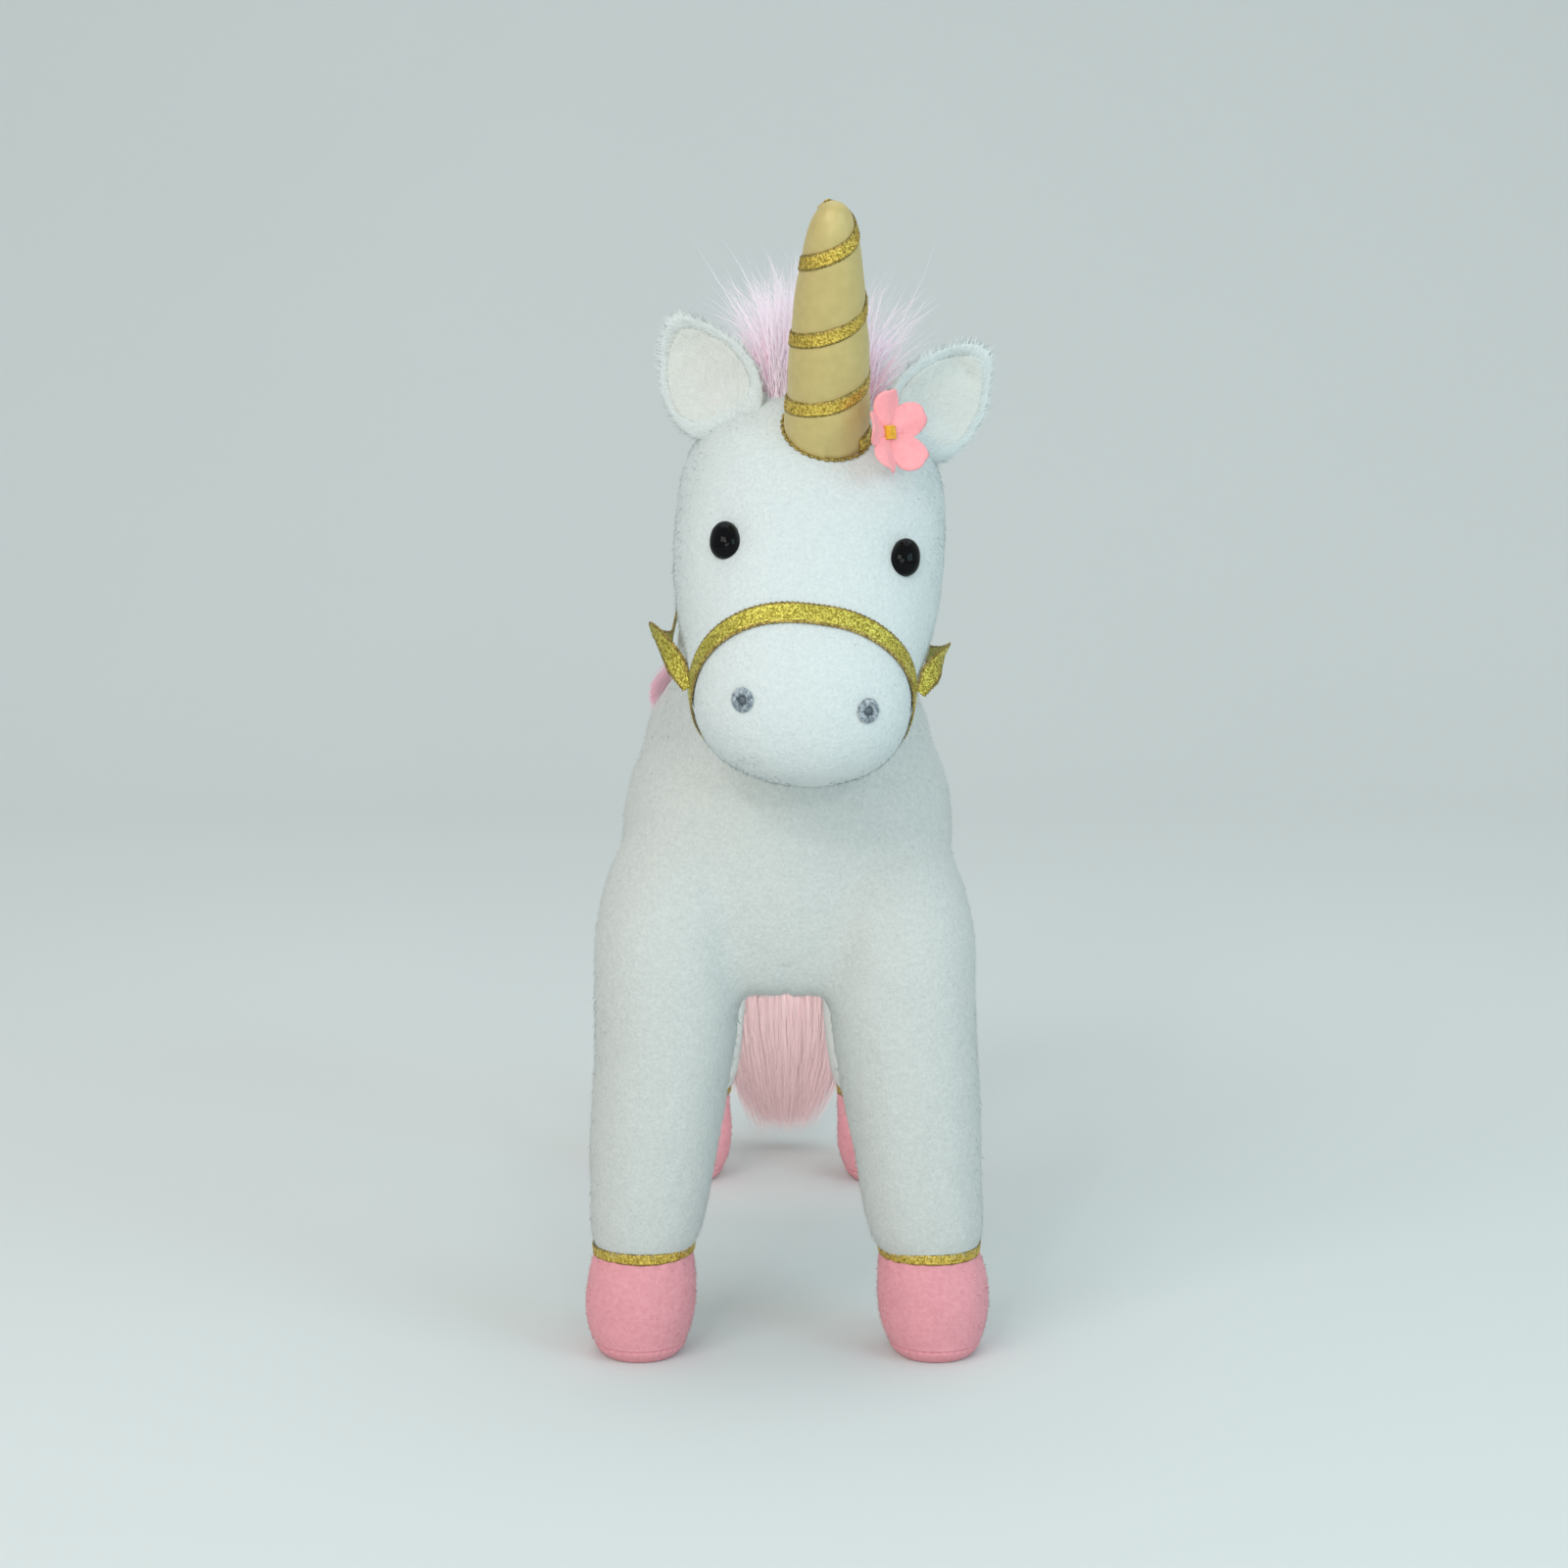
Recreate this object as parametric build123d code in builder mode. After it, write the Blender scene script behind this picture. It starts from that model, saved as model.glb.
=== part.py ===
from build123d import *
import math
import os

os.makedirs("parts", exist_ok=True)

# ----------------------------------------------------------------------------
# Standing plush unicorn, 325 mm tall to the horn tip.
# +Z up, it faces -Y, +X is on its left-hand side as seen from in front.
# The origin is on the ground under the middle of its bounding box.
# Lengths in millimetres. "s" is the distance behind the front hooves' front.
# ----------------------------------------------------------------------------
YS = -102.4            # row y of s = 0
SKIN = 1.3             # thickness of the plush fabric, pile pressed flat
GAP = 0.6              # running gap round a jointed soft part

# torso: (s, z, half width, half height)
TORSO = [(2, 148, 20, 17), (8, 147, 35, 31), (20, 147, 43.5, 40),
         (45, 148, 46.5, 43.5), (95, 148, 45.8, 43.5), (145, 148, 45.5, 43.5),
         (187, 148, 45, 43), (214, 149, 38, 36), (228, 150, 26, 24),
         (232.5, 151, 14, 13)]
TORSO_X = 1.0          # the filled body sits this much to its left

# legs
LEG_S = (16.0, 210.0)          # middle of the front and hind hooves
LEG_HINGE_Z = 118.0
LEG_BALL = 20.2                # radius of a leg's rounded top
LEG_BALL_X = (34.0, 30.5)      # x of the ball, front and hind
# leg column: (z, x of its middle for a front leg, half width, half depth)
LEG_COL = [(31.0, 40.2, 13.6, 13.8), (36.0, 39.7, 14.9, 15.1),
           (50.0, 38.1, 16.9, 17.1), (76.0, 35.9, 18.9, 18.8),
           (96.0, 34.4, 19.8, 19.8), (118.0, 34.0, 19.9, 19.9)]
HOOF_COL = [(4.2, 41.5, 13.4, 14.0), (9.0, 41.5, 15.0, 15.6),
            (16.0, 41.3, 15.7, 16.3), (23.5, 40.9, 15.3, 15.7),
            (28.0, 40.5, 14.5, 14.7), (30.9, 40.2, 13.7, 13.9)]
SOLE = [(0.0, 41.5, 11.2, 11.8), (1.4, 41.5, 12.8, 13.4), (4.2, 41.5, 13.2, 13.8)]
HIND_IN = 8.0                  # the hind legs stand this much nearer the middle
RIBBON_W = 3.2                 # hoof ribbon
RIBBON_T = 0.5

# neck: hinge ball at its foot, then a round column up the neck axis
NECK_FOOT = (0.0, 42.0, 166.0)          # x, s, z
HEAD_MID = (7.5, 6.0, 243.0)            # x, s, z
NECK_R = (32.0, 32.0, 31.5, 31.0)
NECK_T = (0.0, 20.0, 42.0, 62.0)
NECK_TOP = 62.0

# head: axis 50 degrees below the horizon, rolled and turned a little
HEAD_DOWN = 50.0
HEAD_ROLL = 5.5
HEAD_YAW = 2.5
# (t along the axis, half width, half depth)
HEAD = [(-33, 10, 9), (-29, 21, 18), (-20, 30, 26), (-8, 35, 31), (8, 36.6, 33),
        (28, 36, 30.5), (42, 32.8, 27.5), (54, 31.0, 25.5), (66, 29.4, 23),
        (76, 24.5, 18.5), (82.5, 16, 12), (85, 8, 6)]
EYE_R = 5.2
EYE_T, EYE_X = 30.0, 23.4
NOSTRIL_R = 3.5
NOSTRIL_T, NOSTRIL_X = 74.0, 16.2
EAR_W, EAR_L, EAR_TH = 25.0, 30.0, 4.4
EAR_X, EAR_T = 25.0, -13.0
HORN_R0, HORN_R1, HORN_L = 11.4, 4.6, 67.0
HORN_TILT = 25.0
NOSEBAND_W = 6.0


# ------------------------------------------------------------------ vectors
def V(x, s, z):
    """A point given by x, s and z, in the row frame."""
    return Vector(x, s + YS, z)


def rot_y(v, deg):
    a = math.radians(deg)
    return Vector(v.X * math.cos(a) + v.Z * math.sin(a), v.Y,
                  -v.X * math.sin(a) + v.Z * math.cos(a))


def rot_z(v, deg):
    a = math.radians(deg)
    return Vector(v.X * math.cos(a) - v.Y * math.sin(a),
                  v.X * math.sin(a) + v.Y * math.cos(a), v.Z)


def head_dir(v):
    return rot_y(rot_z(v, HEAD_YAW), HEAD_ROLL)


_d = math.radians(HEAD_DOWN)
HX = head_dir(Vector(1, 0, 0))                              # across the head
HH = head_dir(Vector(0, -math.cos(_d), -math.sin(_d)))      # skull to nose
HN = head_dir(Vector(0, -math.sin(_d), math.cos(_d)))       # out of the face
HC = V(*HEAD_MID)


def H(x, t, n):
    """A point of the head, across, along its axis and out of its face."""
    return HC + HX * x + HH * t + HN * n


def head_ab(t):
    """Half width and half depth of the head at t, by straight lines."""
    for (t0, a0, b0), (t1, a1, b1) in zip(HEAD, HEAD[1:]):
        if t0 <= t <= t1:
            k = (t - t0) / (t1 - t0)
            return a0 + (a1 - a0) * k, b0 + (b1 - b0) * k
    return HEAD[0][1], HEAD[0][2]


def on_head(x, t):
    """A point of the head's skin at x, t and the outward direction there."""
    a, b = head_ab(t)
    n = b * math.sqrt(max(0.0, 1 - (x / a) ** 2))
    a2, b2 = head_ab(t + 3)
    a1, b1 = head_ab(t - 3)
    slope = -((a2 - a1) / 6 * (x / a) ** 2 + (b2 - b1) / 6 * (n / b) ** 2)
    d = HX * (x / a / a) + HN * (n / b / b)
    d = d.normalized() + HH * slope
    return H(x, t, n), d.normalized()


NF = V(*NECK_FOOT)
NU = (HC - NF).normalized()                                 # up the neck


# ------------------------------------------------------------------ torso
def torso_solid(cut):
    with BuildPart() as body:
        for k, (s, z, a, b) in enumerate(TORSO):
            end = cut if k == 0 else (-cut if k == len(TORSO) - 1 else 0.0)
            with BuildSketch(Plane(origin=V(TORSO_X, s + end, z), x_dir=(1, 0, 0), z_dir=(0, 1, 0))):
                Ellipse(a - cut, b - cut)
        loft()
    return body.part


torso_outer = torso_solid(0)
torso_inner = torso_solid(SKIN)

# what the legs, the neck and the tail need clear of them while they swing
TAIL_HINGE = V(0, 231.0, 168.0)
with BuildPart() as pockets:
    for i, s in enumerate(LEG_S):
        for side in (-1, 1):
            c = V(side * LEG_BALL_X[i], s, LEG_HINGE_Z)
            with Locations(c):
                Sphere(LEG_BALL + GAP)
            with BuildSketch(Plane(origin=V(side * (LEG_BALL_X[i] - 22.7), s, LEG_HINGE_Z),
                                   x_dir=(0, 1, 0), z_dir=(1, 0, 0))):
                Polygon((-22.2, 5), (22.2, 5), (22.2, 0), (40.0, -40), (-40.0, -40),
                        (-22.2, 0), align=None)
            extrude(amount=side * 47)
    with Locations(NF):
        Sphere(NECK_R[0] + GAP)
    with BuildSketch(Plane(origin=NF - Vector(70, 0, 0), x_dir=(0, NU.Z, -NU.Y),
                           z_dir=(1, 0, 0))):
        Polygon((-33.8, -3), (33.8, -3), (57.0, 62), (-57.0, 62), align=None)
    extrude(amount=140)
    with Locations(TAIL_HINGE):
        Sphere(6.0 + GAP)

PELLET = V(0, 112.0, 124.0)
with BuildPart() as pellet_bag:
    with BuildSketch(Plane(origin=PELLET, x_dir=(0, 1, 0), z_dir=(1, 0, 0))):
        with BuildLine():
            ln = EllipticalCenterArc((0, 0), 44, 15, start_angle=0, arc_size=180)
            Line(ln @ 1, ln @ 0)
        make_face()
    revolve(axis=Axis(PELLET, (0, 1, 0)))
pellet_bag.part.label = "pellet_bag"

with BuildPart() as torso_stuffing:
    add(torso_inner)
    add(pockets.part, mode=Mode.SUBTRACT)
    add(pellet_bag.part, mode=Mode.SUBTRACT)
torso_stuffing.part.label = "torso_stuffing"

with BuildPart() as torso_cover:
    add(torso_outer)
    add(torso_inner, mode=Mode.SUBTRACT)
    add(pockets.part, mode=Mode.SUBTRACT)
torso_cover.part.label = "torso_cover"


# ------------------------------------------------------------------ legs
def column(rows, side, s, inward, cut=0.0):
    with BuildPart() as col:
        for z, x, a, b in rows:
            with BuildSketch(Plane(origin=V(side * (x - inward(z)), s, z))):
                Ellipse(a - cut, b - cut)
        loft()
    return col.part


def make_leg(name, side, i):
    s = LEG_S[i]

    def inward(z):
        if i == 0:
            return 0.0
        return HIND_IN + (LEG_BALL_X[0] - LEG_BALL_X[1] - HIND_IN) * min(1.0, z / LEG_HINGE_Z)

    ball = V(side * LEG_BALL_X[i], s, LEG_HINGE_Z)
    foot_rows = HOOF_COL[:-1] + [LEG_COL[0]]
    with BuildPart() as stuffing:
        add(column(LEG_COL, side, s, inward, SKIN))
        with Locations(ball):
            Sphere(LEG_BALL - SKIN)
        add(column(foot_rows, side, s, inward, SKIN))
    stuffing.part.label = name + "_leg_stuffing"

    with BuildPart() as cover:
        add(column(LEG_COL, side, s, inward))
        with Locations(ball):
            Sphere(LEG_BALL)
        add(stuffing.part, mode=Mode.SUBTRACT)
    cover.part.label = name + "_leg_cover"

    with BuildPart() as hoof:
        add(column(HOOF_COL, side, s, inward))
        add(stuffing.part, mode=Mode.SUBTRACT)
    hoof.part.label = name + "_hoof"

    with BuildPart() as sole:
        add(column(SOLE, side, s, inward))
    sole.part.label = name + "_hoof_sole"

    z0 = LEG_COL[0][0] - RIBBON_W / 2
    with BuildPart() as ribbon:
        with BuildSketch(Plane(origin=V(side * (LEG_COL[0][1] - inward(z0)), s, z0))):
            Ellipse(LEG_COL[0][2] + 1.0 + RIBBON_T, LEG_COL[0][3] + 1.0 + RIBBON_T)
            Ellipse(LEG_COL[0][2] + 0.1, LEG_COL[0][3] + 0.1, mode=Mode.SUBTRACT)
        extrude(amount=RIBBON_W)
        add(cover.part, mode=Mode.SUBTRACT)
        add(hoof.part, mode=Mode.SUBTRACT)
    ribbon.part.label = name + "_hoof_ribbon"

    for p in (stuffing, cover, hoof, sole, ribbon):
        export_step(p.part, "parts/" + p.part.label + ".step")


for leg_name, side, i in (("front_left", 1, 0), ("front_right", -1, 0),
                          ("hind_left", 1, 1), ("hind_right", -1, 1)):
    make_leg(leg_name, side, i)


# ------------------------------------------------------------------ neck
def neck_solid(cut, t_end):
    with BuildPart() as neck:
        for t, r in zip(NECK_T, NECK_R):
            with BuildSketch(Plane(origin=NF + NU * min(t, t_end), x_dir=(1, 0, -NU.X / NU.Z),
                                   z_dir=NU)):
                Circle(r - cut)
        loft()
        with Locations(NF):
            Sphere(NECK_R[0] - cut)
    return neck.part


with BuildPart() as neck_stuffing:
    add(neck_solid(SKIN, NECK_TOP))
neck_stuffing.part.label = "neck_stuffing"

with BuildPart() as neck_cover:
    add(neck_solid(0, NECK_TOP))
    add(neck_stuffing.part, mode=Mode.SUBTRACT)
neck_cover.part.label = "neck_cover"

# pile strip sewn down the neck's crest
NP = Vector(0, NU.Z, -NU.Y).normalized()         # backwards, square to the neck
with BuildPart() as mane_crest:
    for t, a, b in ((24, 6, 4), (30, 9, 7), (41, 11, 10), (48, 10, 9.5), (52, 8, 7)):
        with BuildSketch(Plane(origin=NF + NU * t + NP * 32.0, x_dir=(1, 0, -NU.X / NU.Z),
                               z_dir=NU)):
            Ellipse(a, b)
    loft()
    add(neck_solid(0, NECK_TOP), mode=Mode.SUBTRACT)
mane_crest.part.label = "mane_crest"


# ------------------------------------------------------------------ head
def head_solid(cut):
    with BuildPart() as head:
        for k, (t, a, b) in enumerate(HEAD):
            end = cut if k == 0 else (-cut if k == len(HEAD) - 1 else 0.0)
            with BuildSketch(Plane(origin=H(0, t + end, 0), x_dir=HX, z_dir=HH)):
                Ellipse(a - cut, b - cut)
        loft()
    return head.part


head_outer = head_solid(0)
head_inner = head_solid(SKIN)


def eye_place(side):
    p, d = on_head(side * EYE_X, EYE_T)
    return Plane(origin=p, x_dir=HH, z_dir=d)


def make_eye(side):
    """A domed safety eye on a ribbed shank."""
    with BuildPart() as eye:
        with Locations(eye_place(side).offset(0.25)):
            Cylinder(EYE_R, 1.0, align=(Align.CENTER, Align.CENTER, Align.MIN))
        fillet(eye.edges().group_by(SortBy.LENGTH)[-1], 0.3)
        with Locations(eye_place(side).offset(-5.6)):
            Sphere(8.6)
        with Locations(eye_place(side).offset(-20.0)):
            Box(40, 40, 20.25, align=(Align.CENTER, Align.CENTER, Align.MIN), mode=Mode.SUBTRACT)
        with Locations(eye_place(side).offset(-9.0)):
            Cylinder(1.5, 9.4, align=(Align.CENTER, Align.CENTER, Align.MIN))
    return eye


def make_washer(side):
    with BuildPart() as washer:
        with Locations(eye_place(side).offset(-4.0)):
            Cylinder(5.0, 1.2, align=(Align.CENTER, Align.CENTER, Align.MIN))
            Cylinder(1.55, 1.2, align=(Align.CENTER, Align.CENTER, Align.MIN),
                     mode=Mode.SUBTRACT)
    return washer


eye_left = make_eye(1)
eye_left.part.label = "eye_left"
eye_right = make_eye(-1)
eye_right.part.label = "eye_right"
eye_washer_left = make_washer(1)
eye_washer_left.part.label = "eye_washer_left"
eye_washer_right = make_washer(-1)
eye_washer_right.part.label = "eye_washer_right"


def make_nostril(side):
    p, d = on_head(side * NOSTRIL_X, NOSTRIL_T)
    with BuildPart() as nostril:
        with Locations(Plane(origin=p, x_dir=HH, z_dir=d).offset(-0.6)):
            Cylinder(NOSTRIL_R, 1.8, align=(Align.CENTER, Align.CENTER, Align.MIN))
        fillet(nostril.edges().filter_by(GeomType.CIRCLE).sort_by(
            Axis(p, d))[-1], 0.7)
        add(head_outer, mode=Mode.SUBTRACT)
    return nostril


nostril_left = make_nostril(1)
nostril_left.part.label = "nostril_left"
nostril_right = make_nostril(-1)
nostril_right.part.label = "nostril_right"


# ears: a plush outer piece and a lining, on a rolled base that folds
def ear_frame(side):
    base, out = on_head(side * EAR_X, EAR_T)
    up = head_dir(Vector(side * 0.54, 0.05, 0.84)).normalized()
    face = head_dir(Vector(side * 0.28, -0.95, -0.08))
    face = (face - up * face.dot(up)).normalized()
    return base + out * 0.4, up, face


with BuildSketch() as ear_leaf:
    with BuildLine():
        leaf_edge = Spline((-9.5, 2.4), (-EAR_W / 2, 11), (-8.2, 22), (0, EAR_L),
                           (8.2, 22), (EAR_W / 2, 11), (9.5, 2.4))
        Line(leaf_edge @ 1, leaf_edge @ 0)
    make_face()


def make_ear(side):
    base, up, face = ear_frame(side)
    across = up.cross(face)
    with BuildPart() as outer:
        with BuildSketch(Plane(origin=base - face * (EAR_TH / 2), x_dir=across, z_dir=face)):
            add(ear_leaf.sketch)
        extrude(amount=EAR_TH - 1.6)
        with Locations(Plane(origin=base, x_dir=up, z_dir=across)):
            Cylinder(2.2, 18)
        with BuildSketch(Plane(origin=base - face * (EAR_TH / 2), x_dir=across, z_dir=face)):
            Rectangle(18, 3.4, align=(Align.CENTER, Align.MIN))
        extrude(amount=EAR_TH - 1.6)
    with BuildPart() as lining:
        with BuildSketch(Plane(origin=base + face * (EAR_TH / 2 - 1.6), x_dir=across,
                               z_dir=face)):
            add(ear_leaf.sketch)
        extrude(amount=1.6)
        add(outer.part, mode=Mode.SUBTRACT)
    return outer, lining


ear_left_outer, ear_left_lining = make_ear(1)
ear_left_outer.part.label = "ear_left_outer"
ear_left_lining.part.label = "ear_left_lining"
ear_right_outer, ear_right_lining = make_ear(-1)
ear_right_outer.part.label = "ear_right_outer"
ear_right_lining.part.label = "ear_right_lining"

with BuildPart() as ear_pockets:
    for side in (-1, 1):
        base, up, face = ear_frame(side)
        with Locations(Plane(origin=base, x_dir=up, z_dir=up.cross(face))):
            Cylinder(3.0, 20.4)
        with BuildSketch(Plane(origin=base - up.cross(face) * 13.4, x_dir=face,
                               z_dir=up.cross(face))):
            Polygon((-2.9, 0), (2.9, 0), (20, 24), (-20, 24), align=None)
        extrude(amount=26.8)

# horn: stuffed satin cone that leans forward
HORN_BASE = H(1.0, -3.5, 29.0)
HORN_DIR = Vector(0.02, -math.sin(math.radians(HORN_TILT)),
                  math.cos(math.radians(HORN_TILT))).normalized()


def horn_plane(offset=0.0):
    return Plane(origin=HORN_BASE + HORN_DIR * offset, x_dir=(1, 0, -HORN_DIR.X / HORN_DIR.Z),
                 z_dir=HORN_DIR)


def horn_solid(cut):
    with BuildPart() as horn:
        with BuildSketch(horn_plane(0)):
            Circle(HORN_R0 - cut)
        with BuildSketch(horn_plane(HORN_L - HORN_R1)):
            Circle(HORN_R1 - cut)
        loft()
        with Locations(horn_plane(HORN_L - HORN_R1)):
            Sphere(HORN_R1 - cut)
    return horn.part


with BuildPart() as horn_stuffing:
    add(horn_solid(0.8))
    add(head_outer, mode=Mode.SUBTRACT)
horn_stuffing.part.label = "horn_stuffing"

with BuildPart() as horn_cover:
    add(horn_solid(0))
    add(head_outer, mode=Mode.SUBTRACT)
    add(horn_stuffing.part, mode=Mode.SUBTRACT)
horn_cover.part.label = "horn_cover"


def horn_r(t):
    return HORN_R0 + (HORN_R1 - HORN_R0) * t / (HORN_L - HORN_R1)


horn_bands = []
for t in (16.0, 34.0, 53.0):
    with BuildPart() as band:
        with BuildSketch(horn_plane(t - 1.8)):
            Circle(horn_r(t - 1.8) + 0.5)
        with BuildSketch(horn_plane(t + 1.8)):
            Circle(horn_r(t + 1.8) + 0.5)
        loft()
        add(horn_solid(0), mode=Mode.SUBTRACT)
    horn_bands.append(band.part)
with BuildPart() as horn_ribbon:
    for b in horn_bands:
        add(b)
horn_ribbon.part.label = "horn_ribbon"

with BuildPart() as horn_base_trim:
    with BuildSketch(horn_plane(-12)):
        Circle(HORN_R0 + 1.1)
    extrude(amount=30)
    with BuildSketch(horn_plane(-12)):
        Circle(HORN_R0 + 0.05)
    extrude(amount=30, mode=Mode.SUBTRACT)
    add(head_solid(-2.0), mode=Mode.INTERSECT)
    add(head_outer, mode=Mode.SUBTRACT)
    add(horn_solid(0), mode=Mode.SUBTRACT)
horn_base_trim.part.label = "horn_base_trim"

# noseband: a ribbon round the muzzle, steeper than the muzzle's own section
NB_TOP = V(0, -46.0, 221.0)
NB_N = head_dir(Vector(0, 0.917, 0.397)).normalized()
NB_MID = H(0, 51.0, 0)
with BuildPart() as noseband:
    add(head_solid(-0.6))
    add(head_outer, mode=Mode.SUBTRACT)
    with BuildSketch(Plane(origin=H(0, 51.5, 25.5) - NB_N * (NOSEBAND_W / 2), x_dir=HX,
                           z_dir=NB_N)):
        Rectangle(140, 140)
    extrude(amount=NOSEBAND_W, mode=Mode.INTERSECT)
noseband.part.label = "noseband"

# neck clearance under the head, round the turning axis
with BuildPart() as neck_room:
    with BuildSketch(Plane(origin=NF, x_dir=(1, 0, -NU.X / NU.Z), z_dir=NU)):
        Circle(NECK_R[0] + 0.8)
    extrude(amount=NECK_TOP + GAP)

# flower beside the horn
FL_C = V(27.6, -25.0, 265.5)
FL_N = Vector(0.62, -0.76, 0.20).normalized()
fl_plane = Plane(origin=FL_C, x_dir=Vector(0.76, 0.62, 0), z_dir=FL_N)
with BuildPart() as flower_petals:
    with BuildSketch(fl_plane):
        Circle(5.0)
        with PolarLocations(7.0, 5, start_angle=18):
            Circle(5.0)
    extrude(amount=1.2)
    add(head_outer, mode=Mode.SUBTRACT)
    add(horn_solid(-1.3), mode=Mode.SUBTRACT)
flower_petals.part.label = "flower_petals"
with BuildPart() as flower_centre:
    with Locations(fl_plane.offset(1.2 - 1.6)):
        Sphere(3.0)
    with Locations(fl_plane.offset(-10 + 1.2)):
        Box(30, 30, 10, align=(Align.CENTER, Align.CENTER, Align.MIN), mode=Mode.SUBTRACT)
flower_centre.part.label = "flower_centre"

# forelock: pile tuft on the poll between the ears
MT = V(9.5, 12.0, 262.0)
with BuildPart() as mane_tuft:
    for dz, a, b in ((0, 12, 7), (10, 17, 9), (26, 21, 11), (40, 17, 9), (50, 8, 5)):
        with BuildSketch(Plane(origin=MT + Vector(0.05 * dz, 0.06 * dz, dz))):
            Ellipse(a, b)
    loft()
    add(head_outer, mode=Mode.SUBTRACT)
    add(ear_pockets.part, mode=Mode.SUBTRACT)
    add(horn_solid(-1.3), mode=Mode.SUBTRACT)
mane_tuft.part.label = "mane_tuft"

with BuildPart() as head_stuffing:
    add(head_inner)
    add(neck_room.part, mode=Mode.SUBTRACT)
    add(ear_pockets.part, mode=Mode.SUBTRACT)
    for p in (eye_left, eye_right, eye_washer_left, eye_washer_right):
        add(p.part, mode=Mode.SUBTRACT)
head_stuffing.part.label = "head_stuffing"

with BuildPart() as head_cover:
    add(head_outer)
    add(head_inner, mode=Mode.SUBTRACT)
    add(neck_room.part, mode=Mode.SUBTRACT)
    add(ear_pockets.part, mode=Mode.SUBTRACT)
    for p in (eye_left, eye_right, eye_washer_left, eye_washer_right):
        add(p.part, mode=Mode.SUBTRACT)
head_cover.part.label = "head_cover"


# cheek straps: ribbons from the noseband's ends, out past the cheeks and round
# the back of the neck just under the skull
STRAP_UP = 27.5
_a = math.radians(STRAP_UP)
ST_B = head_dir(Vector(0, math.cos(_a), math.sin(_a)))      # back and up
ST_N = HX.cross(ST_B)
ST_O = H(0, 60.5, 6.5)


def make_strap(side):
    with BuildPart() as strap:
        with BuildSketch(Plane(origin=ST_O - ST_N * 2.6, x_dir=HX, z_dir=ST_N)):
            with BuildLine():
                path = Spline((side * 31.0, 1.0), (side * 39.0, 18), (side * 42.0, 40),
                              (side * 34.0, 70), (side * 14.0, 84.5), (side * 0.2, 87.5),
                              tangents=[(side * 0.5, 0.86), (-side * 1.0, 0.03)])
            trace(line_width=0.5)
        extrude(amount=5.2)
        add(head_solid(-0.65), mode=Mode.SUBTRACT)
    return strap


cheek_strap_left = make_strap(1)
cheek_strap_left.part.label = "cheek_strap_left"
cheek_strap_right = make_strap(-1)
cheek_strap_right.part.label = "cheek_strap_right"

# ------------------------------------------------------------------ tail
with BuildPart() as tail_core:
    with Locations(TAIL_HINGE):
        Sphere(6.0)
    with Locations(Plane(origin=TAIL_HINGE, x_dir=(1, 0, 0), z_dir=(0, 0.82, -0.57))):
        Cylinder(4.2, 24, align=(Align.CENTER, Align.CENTER, Align.MIN))
tail_core.part.label = "tail_core"

TAIL = [(238.5, 163.5, 0.82, -0.57, 9, 8), (246.5, 154, 0.55, -0.83, 15, 11),
        (252, 135, 0.12, -0.99, 18, 12), (253.5, 100, 0, -1, 20, 12.5),
        (252, 60, -0.05, -1, 20, 12.5), (250, 30, -0.07, -1, 16, 10),
        (249, 13, -0.07, -1, 9, 6)]
with BuildPart() as tail_fur:
    for s, z, dy, dz, a, b in TAIL:
        with BuildSketch(Plane(origin=V(0, s, z), x_dir=(1, 0, 0), z_dir=(0, dy, dz))):
            Ellipse(a, b)
    loft()
    add(tail_core.part, mode=Mode.SUBTRACT)
tail_fur.part.label = "tail_fur"

every = [torso_cover, torso_stuffing, pellet_bag, neck_cover, neck_stuffing, mane_crest,
         head_cover, head_stuffing, eye_left, eye_right, eye_washer_left, eye_washer_right,
         nostril_left, nostril_right, ear_left_outer, ear_left_lining, ear_right_outer,
         ear_right_lining, horn_cover, horn_stuffing, horn_ribbon, horn_base_trim, noseband,
         cheek_strap_left, cheek_strap_right, flower_petals, flower_centre, mane_tuft,
         tail_core, tail_fur]
for p in every:
    export_step(p.part, "parts/" + p.part.label + ".step")

print("neck foot", NF, "neck axis", NU)
print("tail hinge", TAIL_HINGE)
for side, nm in ((1, "left"), (-1, "right")):
    base, up, face = ear_frame(side)
    print("ear", nm, base, "axis", up.cross(face), "up", up, "face", face)
print("horn base", HORN_BASE, "dir", HORN_DIR)
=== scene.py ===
import bpy
import bmesh
import math
import numpy as np
from mathutils import Vector, Matrix
from mathutils.bvhtree import BVHTree


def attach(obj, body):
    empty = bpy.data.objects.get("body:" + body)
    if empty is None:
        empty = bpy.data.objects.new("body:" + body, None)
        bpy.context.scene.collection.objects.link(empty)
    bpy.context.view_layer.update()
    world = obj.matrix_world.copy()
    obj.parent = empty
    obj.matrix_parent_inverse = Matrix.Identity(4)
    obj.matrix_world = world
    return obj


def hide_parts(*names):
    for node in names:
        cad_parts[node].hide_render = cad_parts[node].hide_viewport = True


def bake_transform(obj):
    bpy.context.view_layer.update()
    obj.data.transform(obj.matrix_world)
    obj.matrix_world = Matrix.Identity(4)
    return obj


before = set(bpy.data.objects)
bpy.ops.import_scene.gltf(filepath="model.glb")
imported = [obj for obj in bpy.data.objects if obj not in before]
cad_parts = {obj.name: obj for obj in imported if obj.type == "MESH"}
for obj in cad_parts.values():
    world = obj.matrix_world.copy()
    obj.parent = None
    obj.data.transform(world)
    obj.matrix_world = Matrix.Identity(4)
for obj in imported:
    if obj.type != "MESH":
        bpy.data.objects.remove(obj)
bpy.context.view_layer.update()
scene = bpy.context.scene
MM = 0.001
YS = -102.4            # row y, in mm, of s = 0, the front of the front hooves

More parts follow.
